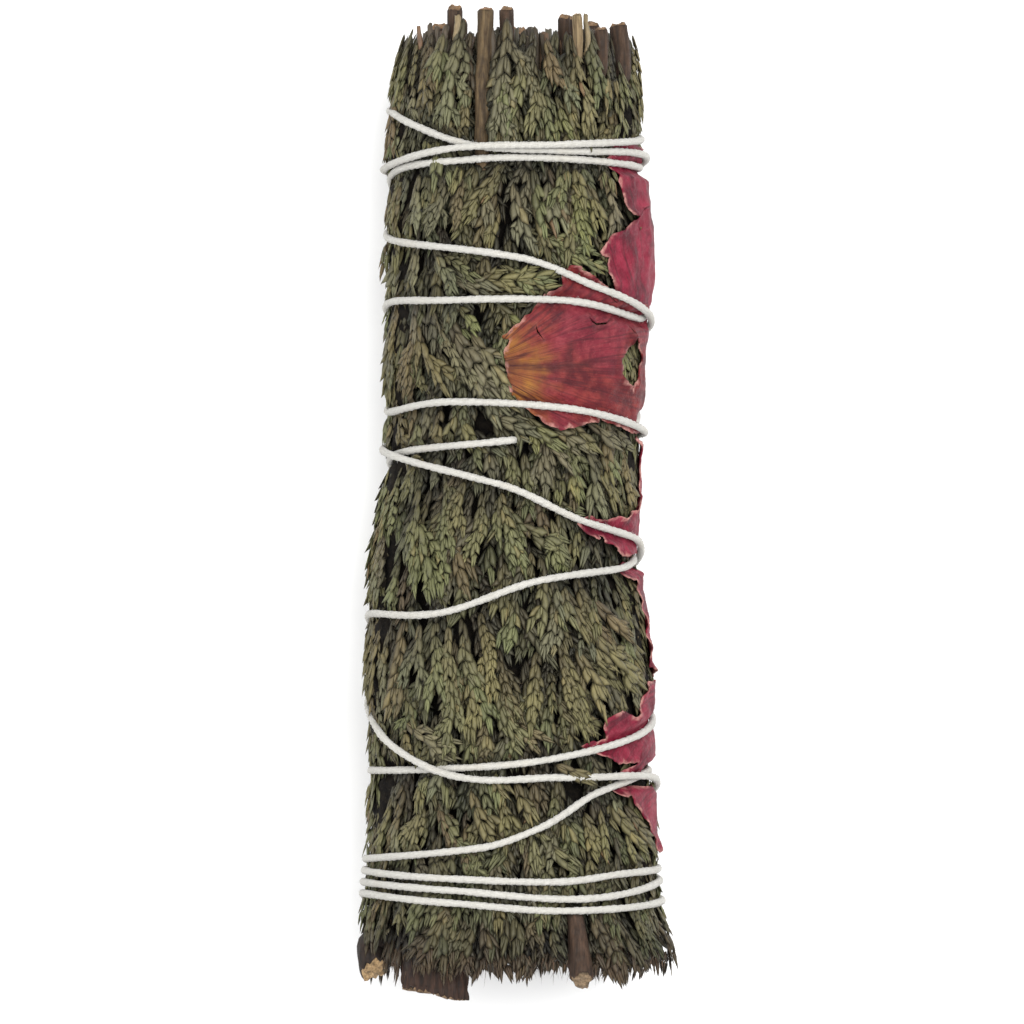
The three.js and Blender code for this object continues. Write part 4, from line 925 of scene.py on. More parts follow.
class Foliage:
    """Gathers the whorls of all the fronds. place_whorls then puts them on the bundle."""

    def __init__(self, seed):
        self.random = np.random.default_rng(seed)
        self.whorls = []
        self.fronds = []

    def any_tone(self):
        return FILL_TONES[self.random.integers(len(FILL_TONES))]

    def tinted(self, name):
        base = np.array(TONES[name])
        return base * self.random.uniform(0.82, 1.16) * self.random.uniform(0.95, 1.05, 3)

    def branchlet(self, start, heading, length, turn, spacing, widths, sunk, first=1.0):
        """A row of whorls along a curve in the frond's plane. Returns its points."""
        count = max(1, round(length / (spacing * self.frond_size)))
        headings = heading + turn * np.arange(count) / max(1, count - 1)
        headings = headings + np.cumsum(self.random.normal(0, WANDER, count))
        moves = np.stack([np.cos(headings), np.sin(headings)], -1) * (length / count)
        points = np.vstack([start, start + np.cumsum(moves, 0)])
        sway = sunk + self.random.normal(0, 0.07)
        roll = self.random.normal(0, ROLL)
        for i in range(count):
            width = np.interp((i + 0.5) / count, [0, 0.4, 1], widths) * self.frond_size
            under = sway
            if i == 0:
                width *= first
                under += (1 - first) * 0.4
            self.whorls.append((
                len(self.fronds) - 1, *points[i], *points[i + 1], width, i == count - 1, under,
                roll,
            ))
        return points, headings

    def frond(self, angle, y, heading, length, width, level, colour, over=0, drop=ROOT_DROP):
        """A flat spray. A narrow one forks into long branchlets that run beside its axis. A
        wide one has a branchlet at each whorl, the longer ones branched."""
        random = self.random
        self.frond_size = random.choice([0.78, 0.9, 1.0, 1.12]) * random.uniform(0.95, 1.05)
        self.fronds.append((angle, y, heading, length, max(width, 1), level, drop, over, *colour))
        broad = 1.2 + 0.09 * width
        axis, headings = self.branchlet(
            np.zeros(2), 0.0, length, random.normal(0, 0.2), 1.25 + 0.12 * width,
            (broad * 0.7, broad, broad * 0.85), 0.0,
        )
        side = 1 if random.random() < 0.5 else -1
        nodes = len(headings)
        narrow = width < NARROW
        for i in range(1, nodes - 1, 2) if narrow else range(1, nodes):
            left = length * (1 - i / nodes)
            if narrow:
                opening = FORK_OPENING * DEGREE * random.uniform(0.7, 1.3)
                reach = width / 2 / (0.6 * math.sin(opening)) * random.uniform(0.8, 1.2)
                long = min(max(reach, 2.2), left * 0.95)
            else:
                opening = OPENING * DEGREE * random.uniform(0.7, 1.3)
                reach = (width / 2 - 0.35) / math.sin(opening * 0.7) * random.uniform(0.7, 1.2)
                long = min(max(reach, 1.2) * min(1.0, 0.45 + 0.3 * i), left * 0.85 + 1.0)
            self.side(axis[i], headings[i], side * opening, long)
            side = -side

    def side(self, start, heading, opening, length):
        """A branchlet beside the axis. A long one has twigs of its own."""
        points, headings = self.branchlet(
            start, heading + opening, length, -opening * 0.85, SIDE_SPACING, SIDE_WIDTHS, 0.06,
            0.75,
        )
        if length < 3.6 or abs(opening) < 0.45:
            return
        side = 1 if opening > 0 else -1
        for i in range(1, len(points) - 2, 2):
            extra = self.random.uniform(1.6, 3.0)
            self.branchlet(
                points[i], headings[i] + side * 0.5, extra, -side * 0.5, TWIG_SPACING,
                TWIG_WIDTHS, 0.12, 0.75,
            )
            side = -side

    def front_frond(self, x0, y0, x1, y1, width, colour, over=0):
        """A frond from a root to a tip as seen from above, often with a companion."""
        start = front_angle(x0, y0)
        end = front_angle(x1, y1)
        aside = (start - end) * girth((start + end) / 2, (y0 + y1) / 2)
        heading = math.atan2(aside, y0 - y1)
        length = math.hypot(aside, y0 - y1)
        level = TOP_LEVEL + self.random.uniform(-0.15, 0.25)
        self.frond(start, y0, heading, length, width, level, self.tinted(colour), over)
        if over or self.random.random() > COMPANIONS:
            return
        aside = self.random.choice([-1, 1]) * self.random.uniform(0.3, 0.6) * width
        down = self.random.uniform(0.1, 0.45) * length
        self.frond(
            start + aside / MEAN_RADIUS, y0 - down, heading + self.random.normal(0, 0.25),
            length * 0.75, max(width * 0.75, 1.8), level + self.random.uniform(0.45, 0.75),
            self.tinted(colour),
        )


# Layers of sprays round the bundle: step along it, step round it, length, width, depths, and
# the degrees from the front's middle where the layer starts and ends.
FILL_LAYERS = [
    (5.6, 3.0, 8.5, 2.6, (-0.12, 0.35), 74, 180), (5.4, 2.8, 7.0, 2.4, (0.5, 0.9), 0, 105),
    (5.8, 3.0, 8.0, 2.7, (1.0, 1.4), 0, 110), (5.4, 2.8, 7.0, 2.4, (0.2, 0.5), 76, 104),
    (6.6, 3.6, 8.0, 2.9, (0.9, 1.3), 110, 180),
]
# Sprays that run under the string where its wraps lie close together: upper y, lower y.
STRING_BANDS = [(40.6, 33.8), (-34.6, -42.4), (-37.4, -44.0)]
# Depths of the fronds inside the bundle that show at its ends.
END_LEVELS = (3.8, 5.6, 7.4, 9.2, 11.0, 12.6)


def fill_fronds(foliage):
    """The rest of the foliage: a visible layer on the back and sides, and deeper layers."""
    random = foliage.random
    for row_step, column_step, length, width, (low, high), near, far in FILL_LAYERS:
        rows = int((TOP_END - BOTTOM_END - 2) / row_step)
        columns = int(FULL_TURN * MEAN_RADIUS / column_step)
        for row in range(rows):
            for column in range(columns):
                angle = (column + 0.5 * (row % 2) + random.uniform(-0.3, 0.3))
                angle *= FULL_TURN / columns
                y = TOP_END - max(0, row + random.uniform(-0.35, 0.35)) * row_step
                long = length * random.uniform(0.85, 1.2)
                wide = width * random.uniform(0.7, 1.15)
                heading = random.normal(0, 0.2)
                level = random.uniform(low, high)
                colour = foliage.tinted(foliage.any_tone())
                from_front = abs((angle / DEGREE + 90) % 360 - 180)
                if from_front < near or from_front > far:
                    continue
                long = min(long, y - (BOTTOM_END - 3.0))
                foliage.frond(angle, y, heading, long, wide, level, colour, 0, 0.8)


def band_fronds(foliage):
    """Fronds of the front that run on under close wraps of the string."""
    random = foliage.random
    for high, low in STRING_BANDS:
        for x in np.arange(-14.6, 13.5, 2.5):
            x = x + random.uniform(-0.7, 0.7)
            top = high + random.uniform(-1.2, 0.6)
            end = low + random.uniform(-1.0, 1.0)
            name = foliage.any_tone()
            foliage.front_frond(x, top, x + random.normal(0, 0.7), end, random.uniform(1.8, 2.6),
                                name)


def end_fronds(foliage):
    """Fronds inside the bundle that show at its two ends."""
    random = foliage.random
    for level in END_LEVELS:
        count = max(3, int(FULL_TURN * (MEAN_RADIUS - level) / 3.0))
        for low_end in (False, True):
            for n in range(count):
                angle = (n + random.uniform(-0.35, 0.35)) * FULL_TURN / count
                length = random.uniform(4.5, 6.5)
                colour = foliage.tinted(foliage.any_tone())
                width = random.uniform(1.8, 2.8)
                y = TOP_END + random.uniform(-1.5, 0.3)
                if low_end:
                    y = BOTTOM_END - random.uniform(1.0, 3.2) + length
                heading = random.normal(0, 0.1)
                foliage.frond(angle, y, heading, length, width, level, colour, 0, 0.4)


def tip_row(foliage):
    """Tips that hang past the lower end, all round the rim."""
    random = foliage.random
    for x0, x1, low, width in TIP_ROW:
        name = TIP_ROW_TONES[random.integers(len(TIP_ROW_TONES))]
        top = TIP_ROW_TOP + random.uniform(-2.4, 1.4)
        over = OVER_STEM if x0 < -14 else 0
        foliage.front_frond(x0 + random.uniform(-0.5, 0.5), top, x1,
                            random.uniform(0.0, 0.9) - low, width, name, over)
        # Brown tips behind each tip, darkened further as painted shade.
        behind = foliage.tinted("brown") * 0.6
        foliage.frond(front_angle(x0 + 0.9, TIP_ROW_TOP), TIP_ROW_TOP, 0.0,
                      random.uniform(6.0, 7.4), 2.2, 1.5, behind)
    # Tips in the gap, darker still as painted shade.
    for x0 in TIPS_BEHIND:
        behind = foliage.tinted("brown") * 0.4
        foliage.frond(front_angle(x0, TIP_ROW_TOP), TIP_ROW_TOP, 0.0, 6.8, 2.4, 2.2, behind)
    for n in range(RIM_TIPS):
        angle = math.pi + (n + 0.5 + random.uniform(-0.2, 0.2)) / RIM_TIPS * math.pi
        length = random.uniform(6.5, 9.0)
        colour = foliage.tinted(foliage.any_tone())
        foliage.frond(angle, -41.5, random.normal(0, 0.1), length, 2.6, 0.4, colour)


# Bare stem stubs seen at the ends: x and depth below the outline, upper y, lower y, radius,
# tone of the bark and whether its end is pale.
STUBS = [
    (-13.2, 1.0, 48.7, 46.0, 0.42, "grey"), (-11.6, 0.6, 50.1, 47.6, 0.3, "rust"),
    (-10.7, 1.1, 50.2, 46.5, 0.4, "dark"), (-9.9, 1.3, 50.0, 46.5, 0.34, "dark"),
    (-8.7, 0.9, 50.0, 47.0, 0.45, "dark"), (-7.3, 0.5, 50.9, 48.6, 0.45, "pale"),
    (2.3, 3.2, 49.3, 44.0, 0.9, "dark"), (0.9, 2.6, 48.6, 44.0, 0.7, "dark"),
    (7.8, 0.7, 51.2, 47.0, 0.34, "pale"), (3.4, 2.2, 49.0, 43.5, 0.6, "dark"),
    (9.4, 1.0, 49.6, 46.2, 0.4, "rust"), (-3.4, 1.6, 49.4, 45.0, 0.5, "dark"),
]
STUB_TONES = {
    "grey": tone(72, 66, 54), "rust": tone(94, 68, 50), "dark": tone(60, 48, 39),
    "pale": tone(122, 106, 78),
}
STUB_SIDES = 8
# More of them at random places, and the share of these that are at the top end.
RANDOM_STUBS = 340
RANDOM_STUB_TONES = ["grey", "dark", "dark", "rust"]
TOP_STUBS = 0.62


def stub(line, radius, colour, random):
    """A thin rod along a line of points, rough, with an uneven pale end at its first point.
    Returns points, faces, tints and leaf values."""
    way = unit(np.gradient(line, axis=0))
    one = unit(np.cross(way, np.array([0.0, 0.3, 1.0])))
    turn = np.arange(STUB_SIDES) / STUB_SIDES * FULL_TURN
    uneven = random.uniform(0.82, 1.15, (len(line), STUB_SIDES))
    uneven *= np.linspace(0.72, 1.05, len(line))[:, None]
    ring = turned(one[:, None], np.cross(way, one)[:, None], turn[None])
    rings = line[:, None] + ring * (radius * uneven)[..., None]
    rings[0] -= way[0] * random.uniform(0, 0.45, STUB_SIDES)[:, None] * radius * 2
    lip = rings[0] * 0.45 + rings[0].mean(0) * 0.55 + way[0] * 0.1 * radius
    rings = np.concatenate([lip[None], rings])
    points = rings.reshape(-1, 3)
    faces = tube_faces(len(rings), STUB_SIDES)
    shade = random.uniform(0.75, 1.2, (len(rings), STUB_SIDES))
    tint = colour * shade[..., None]
    tint[0] = np.array(STUB_TONES["pale"]) * random.uniform(0.7, 1.1)
    form = np.zeros((len(points), 3))
    form[:, 1] = 0.6
    return points, faces, tint.reshape(-1, 3), form


def stubs(foliage):
    """All bare stems at both ends, with the sector each is in."""
    random = foliage.random
    made = []
    for x, depth, high, low, radius, name in STUBS:
        angle = float(front_angle(x, 47.0))
        y = np.linspace(high, low, 6)
        line = skin(angle + 0 * y, depth + radius + 0.4 * np.linspace(0, 1, 6) ** 2, y)
        line[:, 0] += 0.15 * np.sin(y * 1.3 + x)
        made.append((angle, *stub(line, radius, np.array(STUB_TONES[name]), random)))
    for _ in range(RANDOM_STUBS):
        angle = random.uniform(0, FULL_TURN)
        depth = MEAN_RADIUS - 13.0 * math.sqrt(random.uniform(0.0, 0.85))
        radius = random.uniform(0.22, 0.7)
        name = RANDOM_STUB_TONES[random.integers(len(RANDOM_STUB_TONES))]
        colour = np.array(STUB_TONES[name]) * random.uniform(0.6, 1.1)
        if random.random() < TOP_STUBS:
            y = np.linspace(TOP_END + random.uniform(-2.5, 0.4), TOP_END - 5.0, 5)
        else:
            y = np.linspace(BOTTOM_END - random.uniform(0.4, 2.4), BOTTOM_END + 3.0, 5)
            radius = 0.6 * radius
            # Painted shade: stubs at the lower end are darker, as the leaves there are.
            colour = 0.7 * colour
        line = skin(angle + 0 * y, depth + 0 * y, y)
        made.append((angle, *stub(line, radius, colour, random)))
    return made


FIBRE_COUNT = 420


def end_fibres(foliage):
    """Torn brown fibres at the lower end, as thin closed spikes, with the sector of each."""
    random = foliage.random
    made = []
    for _ in range(FIBRE_COUNT):
        angle = random.uniform(0, FULL_TURN)
        depth = random.uniform(0.6, 5.0)
        y = BOTTOM_END - random.uniform(0.0, 1.5)
        root = skin(np.array(angle), depth, np.array(y))
        long = random.uniform(0.8, 2.6)
        lean = random.normal(0, 0.25, 2)
        tip = root + np.array([lean[0], -1.0, lean[1]]) * long
        thick = random.uniform(0.04, 0.12)
        corners = [root + np.array(c) * thick for c in ((1, 0, 0), (-0.5, 0, 0.9), (-0.5, 0, -0.9))]
        points = np.array(corners + [tip])
        faces = np.array([(0, 3, 1), (1, 3, 2), (2, 3, 0), (0, 1, 2)])
        tint = np.tile(np.array(STUB_TONES["rust"]) * random.uniform(0.4, 1.0), (4, 1))
        form = np.tile([0.0, 0.6, 0.0], (4, 1))
        made.append((angle, points, faces, tint, form))
    return made


# A scale leaf is a closed shape of two rings of three points between a base and a tip. Each
# row is across, along, and up, in widths and lengths of its whorl.
SIDE_LEAF = np.array([
    (0.07, -0.12, 0.06),
    (-0.02, 0.28, 0.14), (0.18, 0.26, 0.19), (0.37, 0.20, 0.02),
    (-0.01, 0.93, 0.20), (0.27, 0.86, 0.26), (0.52, 0.64, 0.05),
    (0.44, 1.26, 0.21),
])
FACE_LEAF = np.array([
    (0.00, -0.14, 0.13),
    (-0.14, 0.20, 0.17), (0.00, 0.22, 0.23), (0.14, 0.20, 0.17),
    (-0.11, 0.52, 0.21), (0.00, 0.55, 0.27), (0.11, 0.52, 0.21),
    (0.00, 0.84, 0.24),
])
LEAF_EDGE = [0.5, 1.0, 0.0, 1.0, 1.0, 0.0, 1.0, 0.9]
FACE_EDGE = [0.5, 0.8, 0.0, 0.8, 0.8, 0.0, 0.8, 0.7]
LEAF_ALONG = [0.0, 0.2, 0.2, 0.2, 0.65, 0.65, 0.65, 1.0]
LEAF_POINTS = len(LEAF_EDGE)


def leaf_faces():
    faces = [(0, 1, 2), (0, 2, 3), (0, 3, 1)]
    for k in range(3):
        a, b = 1 + k, 1 + (k + 1) % 3
        faces += [(a, a + 3, b + 3), (a, b + 3, b)]
    return np.array(faces + [(4, 7, 5), (5, 7, 6), (6, 7, 4)])


def whorl_template():
    """Points, faces, and the edge and length values of the three leaves of one whorl."""
    mirror = np.array([-1, 1, 1])
    points = np.vstack([SIDE_LEAF, SIDE_LEAF * mirror, FACE_LEAF])
    shape = leaf_faces()
    faces = np.vstack([shape, shape[:, ::-1] + LEAF_POINTS, shape + 2 * LEAF_POINTS])
    edge = np.array(LEAF_EDGE * 2 + FACE_EDGE)
    along = np.array(LEAF_ALONG * 3)
    leaf = np.repeat([0, 1, 2], LEAF_POINTS)
    return points, faces, edge, along, leaf


WHORL_POINTS, WHORL_FACES, WHORL_EDGE, WHORL_ALONG, WHORL_LEAF = whorl_template()
WHORL_VALUES = [
    "frond", "along_a", "aside_a", "along_b", "aside_b", "width", "last", "sunk", "roll",
]
FROND_VALUES = [
    "angle", "y", "heading", "length", "width", "level", "drop", "over", "red", "green", "blue",
]
# Odd leaves: a random value below which a leaf is rusty, or else like straw, and the tones.
RUSTY = 0.002
STRAWY = 0.05
RUST = tone(102, 70, 46)
STRAW = tone(122, 108, 68)


def named(names, rows):
    return SimpleNamespace(**dict(zip(names, rows.T)))


def whorl_spot(frond, along, aside, sunk):
    """Angle, y, depth and nearness of the string, for places in the planes of their fronds."""
    sideways = along * np.sin(frond.heading) + aside * np.cos(frond.heading)
    y = frond.y - along * np.cos(frond.heading) + aside * np.sin(frond.heading)
    angle = frond.angle - sideways / frond.girth
    share = np.clip(along / frond.length, 0, 1.1)
    depth = frond.level + frond.drop * np.maximum(0, 1 - share) ** 1.6 + sunk
    depth = depth + 0.2 * (np.abs(aside) / frond.width * 2) ** 2
    on_string = frond.over == OVER_STRING
    least, near = cover(angle, y, on_string, frond.over == OVER_PETAL, frond.over == OVER_STEM)
    _, string = string_at(angle % FULL_TURN, y, 0.5, 1.8)
    raised = np.maximum(depth * (1 - string) - 0.3 * string, least)
    pressed = np.maximum(depth, least + 0.3 * np.maximum(depth, 0))
    return angle, y, np.where(on_string, raised, pressed), near


def whorl_shapes(whorl, random):
    """The leaves of every whorl, a little splayed, slid and raised, in widths and lengths."""
    count = len(whorl.width)
    shape = np.repeat(WHORL_POINTS[None], count, 0)
    side = np.array([1, -1, 0])[WHORL_LEAF]
    splay = random.normal(0.01, 0.05, (count, 3))[:, WHORL_LEAF] * WHORL_ALONG ** 2
    shape[:, :, 0] += splay * np.where(side == 0, 1, side)
    reach = random.normal(0, 0.1, (count, 3))[:, WHORL_LEAF] + 0.5 * whorl.roll[:, None] * side
    shape[:, :, 1] += reach * WHORL_ALONG
    shape[:, :, 1] += random.normal(0, 0.1, (count, 1)) * side
    raised = np.abs(random.normal(0, 0.045, (count, 3)))[:, WHORL_LEAF]
    shape[:, :, 2] += raised * WHORL_ALONG ** 3
    shape[:, :, 0] *= 1 - 0.8 * whorl.last[:, None] * smooth((WHORL_ALONG - 0.2) / 0.8)
    return shape


def whorl_tints(whorl, frond, y_a, y_b, depth, random):
    """A colour for each point: brown at roots and burnt at the lower end, with painted shade that
    darkens leaves deeper in and towards the lower end.
    """
    count = len(depth)
    # Painted shade: darker the deeper a leaf lies and towards the lower end, eased off at both
    # ends, where light reaches in.
    shade = 1 - 0.84 * smooth((depth - 0.45) / 1.15)
    shade = shade * (1 - 0.62 * smooth((BOTTOM_END + 4.5 - y_b) / 5.0))
    in_end = smooth((BOTTOM_END + 0.6 - y_b) / 2.0) + smooth((y_a - TOP_END + 2.4) / 2.0)
    shade = np.maximum(shade, 0.34 * in_end)
    bright = random.uniform(0.93, 1.08, count) * shade
    leaf_bright = random.uniform(0.85, 1.15, (count, 3))[:, WHORL_LEAF]
    share = np.clip(whorl.along_a / frond.length, 0, 1)[:, None]
    colour = np.stack([frond.red, frond.green, frond.blue], -1)
    colour = colour + (np.array(FROND_ROOT) - colour) * 0.5 * (1 - share) ** 2
    tint = colour[:, None] * (bright[:, None] * leaf_bright)[:, :, None]
    dead = 0.75 * smooth((BOTTOM_END - 0.4 - y_b + random.normal(0, 0.7, count)) / 1.8)
    # Burnt tips keep part of the painted shade.
    burnt = np.array(DEAD_TIP) * np.maximum(bright, 0.5)[:, None, None]
    tint = tint + (burnt - tint) * dead[:, None, None]
    odd = random.random((count, 3))[:, WHORL_LEAF][..., None]
    # Rusty and straw leaves carry the same painted shade.
    rust = np.array(RUST) * shade[:, None, None]
    straw = np.array(STRAW) * shade[:, None, None]
    tint = np.where(odd < RUSTY, 0.4 * tint + 0.6 * rust, tint)
    return np.where((odd > RUSTY) & (odd < STRAWY), 0.6 * tint + 0.4 * straw, tint)


def place_whorls(foliage):
    """All whorls as points in the bundle's coordinates, with tints, and each one's sector."""
    random = np.random.default_rng(77)
    whorl = named(WHORL_VALUES, np.array(foliage.whorls))
    frond = named(FROND_VALUES, np.array(foliage.fronds)[whorl.frond.astype(int)])
    frond.girth = girth(frond.angle, frond.y) * (1 - frond.level / 15.0)
    angle_a, y_a, depth_a, near_a = whorl_spot(frond, whorl.along_a, whorl.aside_a, whorl.sunk)
    angle_b, y_b, depth_b, near_b = whorl_spot(frond, whorl.along_b, whorl.aside_b, whorl.sunk)
    depth_b = np.maximum(depth_b, depth_a - 0.3)
    start = skin(angle_a, depth_a, y_a)
    along = skin(angle_b, depth_b, y_b) - start
    long = np.linalg.norm(along, axis=-1)
    tangent = unit(along)
    up = square_to(outward((angle_a + angle_b) / 2), tangent)
    count = len(long)
    roll = whorl.roll + random.normal(0, 0.07, count)
    across = np.cross(tangent, up)
    across, up = turned(across, up, roll), turned(up, -across, roll)
    size = whorl.width * random.uniform(0.88, 1.1, count)
    lift = random.uniform(0.85, 1.2, count) * (1 - 0.4 * np.maximum(near_a, near_b))
    shape = whorl_shapes(whorl, random)
    made = (start[:, None]
            + across[:, None] * (shape[:, :, :1] * size[:, None, None])
            + tangent[:, None] * (shape[:, :, 1:2] * long[:, None, None])
            + up[:, None] * (shape[:, :, 2:] * (size * lift)[:, None, None]))
    made[:, :, 2] = np.clip(made[:, :, 2], 0.01, HIGHEST)
    tint = whorl_tints(whorl, frond, y_a, y_b, (depth_a + depth_b) / 2, random)
    return made, tint, sector_of(frond.angle)


def sector_of(angle):
    """Which spray an angle round the bundle belongs to."""
    return np.round(np.asarray(angle) / (FULL_TURN / SPRAYS)).astype(int) % SPRAYS


CORE_STATIONS = 96
CORE_STEPS = 12


def core_solid(k):
    """The smaller dark core of one spray: a wedge from near the surface to the middle."""
    stations = np.linspace(TOP_END - 4.2, BOTTOM_END + 4.4, CORE_STATIONS)
    angles = ((k - 0.5) + np.arange(CORE_STEPS + 1) / CORE_STEPS) * FULL_TURN / SPRAYS
    y, angle = np.meshgrid(stations, angles, indexing="ij")
    least, _ = cover(angle, y)
    side = smooth((np.abs(np.cos(angle)) - 0.8) / 0.15)
    base = 2.9 - 2.3 * side - 1.6 * (1 - side) * smooth((-np.sin(angle) - 0.3) / 0.3)
    hills = ripple(angle * MEAN_RADIUS, y, 2.5, 5)
    depth = np.maximum(base + 0.25 * hills, least + 0.5 * base)
    outside = skin(angle, depth, y).reshape(-1, 3)
    middle, _, _, height = outline(stations)
    columns = CORE_STEPS + 1
    centre = len(outside)
    faces = []
    for i in range(CORE_STATIONS - 1):
        for j in range(CORE_STEPS):
            a = i * columns + j
            faces += [(a, a + 1, a + columns + 1), (a, a + columns + 1, a + columns)]
        a, b, c = i * columns, i * columns + CORE_STEPS, centre + i
        faces += [(a, a + columns, c + 1), (a, c + 1, c)]
        faces += [(b, c, c + 1), (b, c + 1, b + columns)]
    end = (CORE_STATIONS - 1) * columns
    for j in range(CORE_STEPS):
        faces += [(centre, j + 1, j), (centre + CORE_STATIONS - 1, end + j, end + j + 1)]
    return np.vstack([outside, np.stack([middle, stations, height], -1)]), np.array(faces)


def all_foliage():
    foliage = Foliage(12)
    for row in FRONT_FRONDS:
        foliage.front_frond(*row)
    tip_row(foliage)
    fill_fronds(foliage)
    band_fronds(foliage)
    end_fronds(foliage)
    return foliage


def make_foliage(leaf, core):
    """Eight pieces, each with a sector's leaves, stubs and fibres over its dark core."""
    foliage = all_foliage()
    made, tint, sector = place_whorls(foliage)
    extras = stubs(foliage) + end_fibres(foliage)
    form = np.stack([WHORL_EDGE, WHORL_ALONG, 0 * WHORL_EDGE], -1)
    for k in range(SPRAYS):
        mine = sector == k
        count = int(mine.sum())
        offsets = (np.arange(count) * len(WHORL_POINTS))[:, None, None]
        parts = [(
            made[mine].reshape(-1, 3), (WHORL_FACES[None] + offsets).reshape(-1, 3),
            tint[mine].reshape(-1, 3), np.tile(form, (count, 1)),
        )]
        parts += [extra for angle, *extra in extras if sector_of(angle) == k]
        core_points, core_faces = core_solid(k)
        blank = np.zeros((len(core_points), 3))
        parts.append((core_points, core_faces, blank, blank))
        points, faces, tints, forms = joined(parts)
        piece = make_piece(f"cedar_spray_foliage_{k + 1}", points, faces, leaf, core)
        which = np.zeros(len(faces), int)
        which[-len(core_faces):] = 1
        piece.data.polygons.foreach_set("material_index", which)
        paint(piece, "tint", tints)
        paint(piece, "leaf", forms)
        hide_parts(f"cedar_spray_{k + 1}")


# String: a twisted yarn of three plies along the route, loose fibres and a knot

# Points along it, the length of a full twist, the radii round one ply, and its loose fibres:
# how many there are, how thick, and how far from the string's middle they start.
STRING_STEP = 0.32
PLIES = 3
PLY_PITCH = 2.7
PLY_PROFILE = [0.412, 0.392, 0.35, 0.385]
FIBRES = 5200
FIBRE_THICK = 0.014
FIBRE_ROOT = 0.34


def string_path():
    """Evenly spaced points along the string's middle, with two directions across it."""
    angle = math.pi - ROUTE_TURN * FULL_TURN
    raw = skin(angle, ROUTE_DEPTH, ROUTE_Y)
    gone = arc_lengths(raw)
    even = np.arange(0, gone[-1], STRING_STEP)
    path = resampled(raw, gone, even)
    tangent = unit(np.gradient(path, axis=0))
    out = square_to(unit(resampled(outward(angle), gone, even)), tangent)
    return path, tangent, out, np.cross(tangent, out), even


def tube_walls(rings, sides):
    """Faces between rings of points."""
    n = np.arange(rings - 1)[:, None] * sides
    s = np.arange(sides)[None]
    a = (n + s).ravel()
    b = (n + (s + 1) % sides).ravel()
    return np.vstack([np.stack([a, b, b + sides], -1), np.stack([a, b + sides, a + sides], -1)])


def tube_faces(rings, sides):
    """Faces between rings of points, with both ends closed."""
    s = np.arange(1, sides - 1)
    last = (rings - 1) * sides
    low = np.stack([0 * s, s + 1, s], -1)
    high = np.stack([last + 0 * s, last + s, last + s + 1], -1)
    return np.vstack([tube_walls(rings, sides), low, high])


def twisted(path, out, across, gone, random, size=1.0):
    """A yarn round a path: its ridges wind along it. Returns points, faces and yarn values."""
    profile = np.array(PLY_PROFILE * PLIES) * size
    sides = len(profile)
    twist = gone / (PLY_PITCH * size) * FULL_TURN + 0.3 * np.sin(gone * 0.41)
    turn = np.arange(sides)[None] / sides * FULL_TURN + twist[:, None]
    uneven = 1 + 0.04 * np.sin(gone * 1.7) + 0.035 * np.sin(gone * 0.63 + 1)
    radius = profile[None] * uneven[:, None] * random.normal(1, 0.018, turn.shape)
    points = path[:, None] + turned(across[:, None], out[:, None], turn) * radius[..., None]
    yarn = np.stack([np.cos(turn), np.sin(turn), 0 * turn + gone[:, None]], -1)
    return points.reshape(-1, 3), tube_faces(len(path), sides), yarn.reshape(-1, 3)


def make_string(cotton):
    random = np.random.default_rng(31)
    path, tangent, out, across, gone = string_path()
    parts = [twisted(path, out, across, gone, random)]
    parts.append(loose_fibres(path, tangent, out, across, random))
    points, faces, yarn = joined(parts + knot_yarns(random))
    points[:, 2] = np.clip(points[:, 2], 0.02, HIGHEST)
    piece = make_piece("cotton_string_twine", points, faces, cotton)
    paint(piece, "yarn", yarn)
    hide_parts("cotton_string")


def loose_fibres(path, tangent, out, across, random):
    """Thin spikes that stand off the string."""
    at = random.integers(5, len(path) - 5, FIBRES)
    turn = random.uniform(0, FULL_TURN, FIBRES)
    side = turned(across[at], out[at], turn)
    lean = tangent[at] * random.choice([-1, 1], FIBRES)[:, None]
    way = unit(side + lean * random.uniform(0.4, 2.2, FIBRES)[:, None])
    root = path[at] + side * FIBRE_ROOT
    tip = root + way * random.uniform(0.15, 0.55, FIBRES)[:, None]
    one = unit(np.cross(way, side)) * FIBRE_THICK
    two = np.cross(way, one)
    corners = [root + one, root - one * 0.5 + two * 0.87, root - one * 0.5 - two * 0.87, tip]
    points = np.stack(corners, 1).reshape(-1, 3)
    shape = np.array([(0, 1, 3), (1, 2, 3), (2, 0, 3), (0, 2, 1)])
    faces = (shape[None] + (np.arange(FIBRES) * 4)[:, None, None]).reshape(-1, 3)
    return points, faces, np.zeros((len(points), 3))


def knot_yarns(random):
    """A small overhand knot with two short tails where the string's ends meet."""
    angle = math.pi + KNOT_TURN * FULL_TURN
    centre = skin(np.array(angle), 0.15, np.array(KNOT_Y + 0.1))
    up = outward(np.array(angle))
    along = np.array([0.0, 1.0, 0.0])
    aside = np.cross(along, up)
    turn = np.linspace(0, FULL_TURN, 34)
    loops = [
        (0.62 * np.cos(turn), 0.95 * np.sin(turn), 0.32 + 0.28 * np.sin(2 * turn)),
        (0.95 * np.cos(turn), 0.5 * np.sin(turn), 0.3 - 0.3 * np.cos(2 * turn)),
    ]
    ends = np.linspace(0, 1, 16)
    for side in (-1, 1):
        loops.append((
            side * (0.4 + 1.3 * ends), side * 0.5 + 2.6 * ends * (0.6 + 0.5 * side),
            0.45 + 0.25 * np.sin(ends * 3) - 0.35 * ends,
        ))
    made = []
    for u, v, w in loops:
        line = (centre + u[:, None] * aside + v[:, None] * along + w[:, None] * up)
        way = unit(np.gradient(line, axis=0))
        one = square_to(up, way)
        made.append(twisted(line, one, np.cross(way, one), arc_lengths(line), random, 0.9))
    return made


# Petals

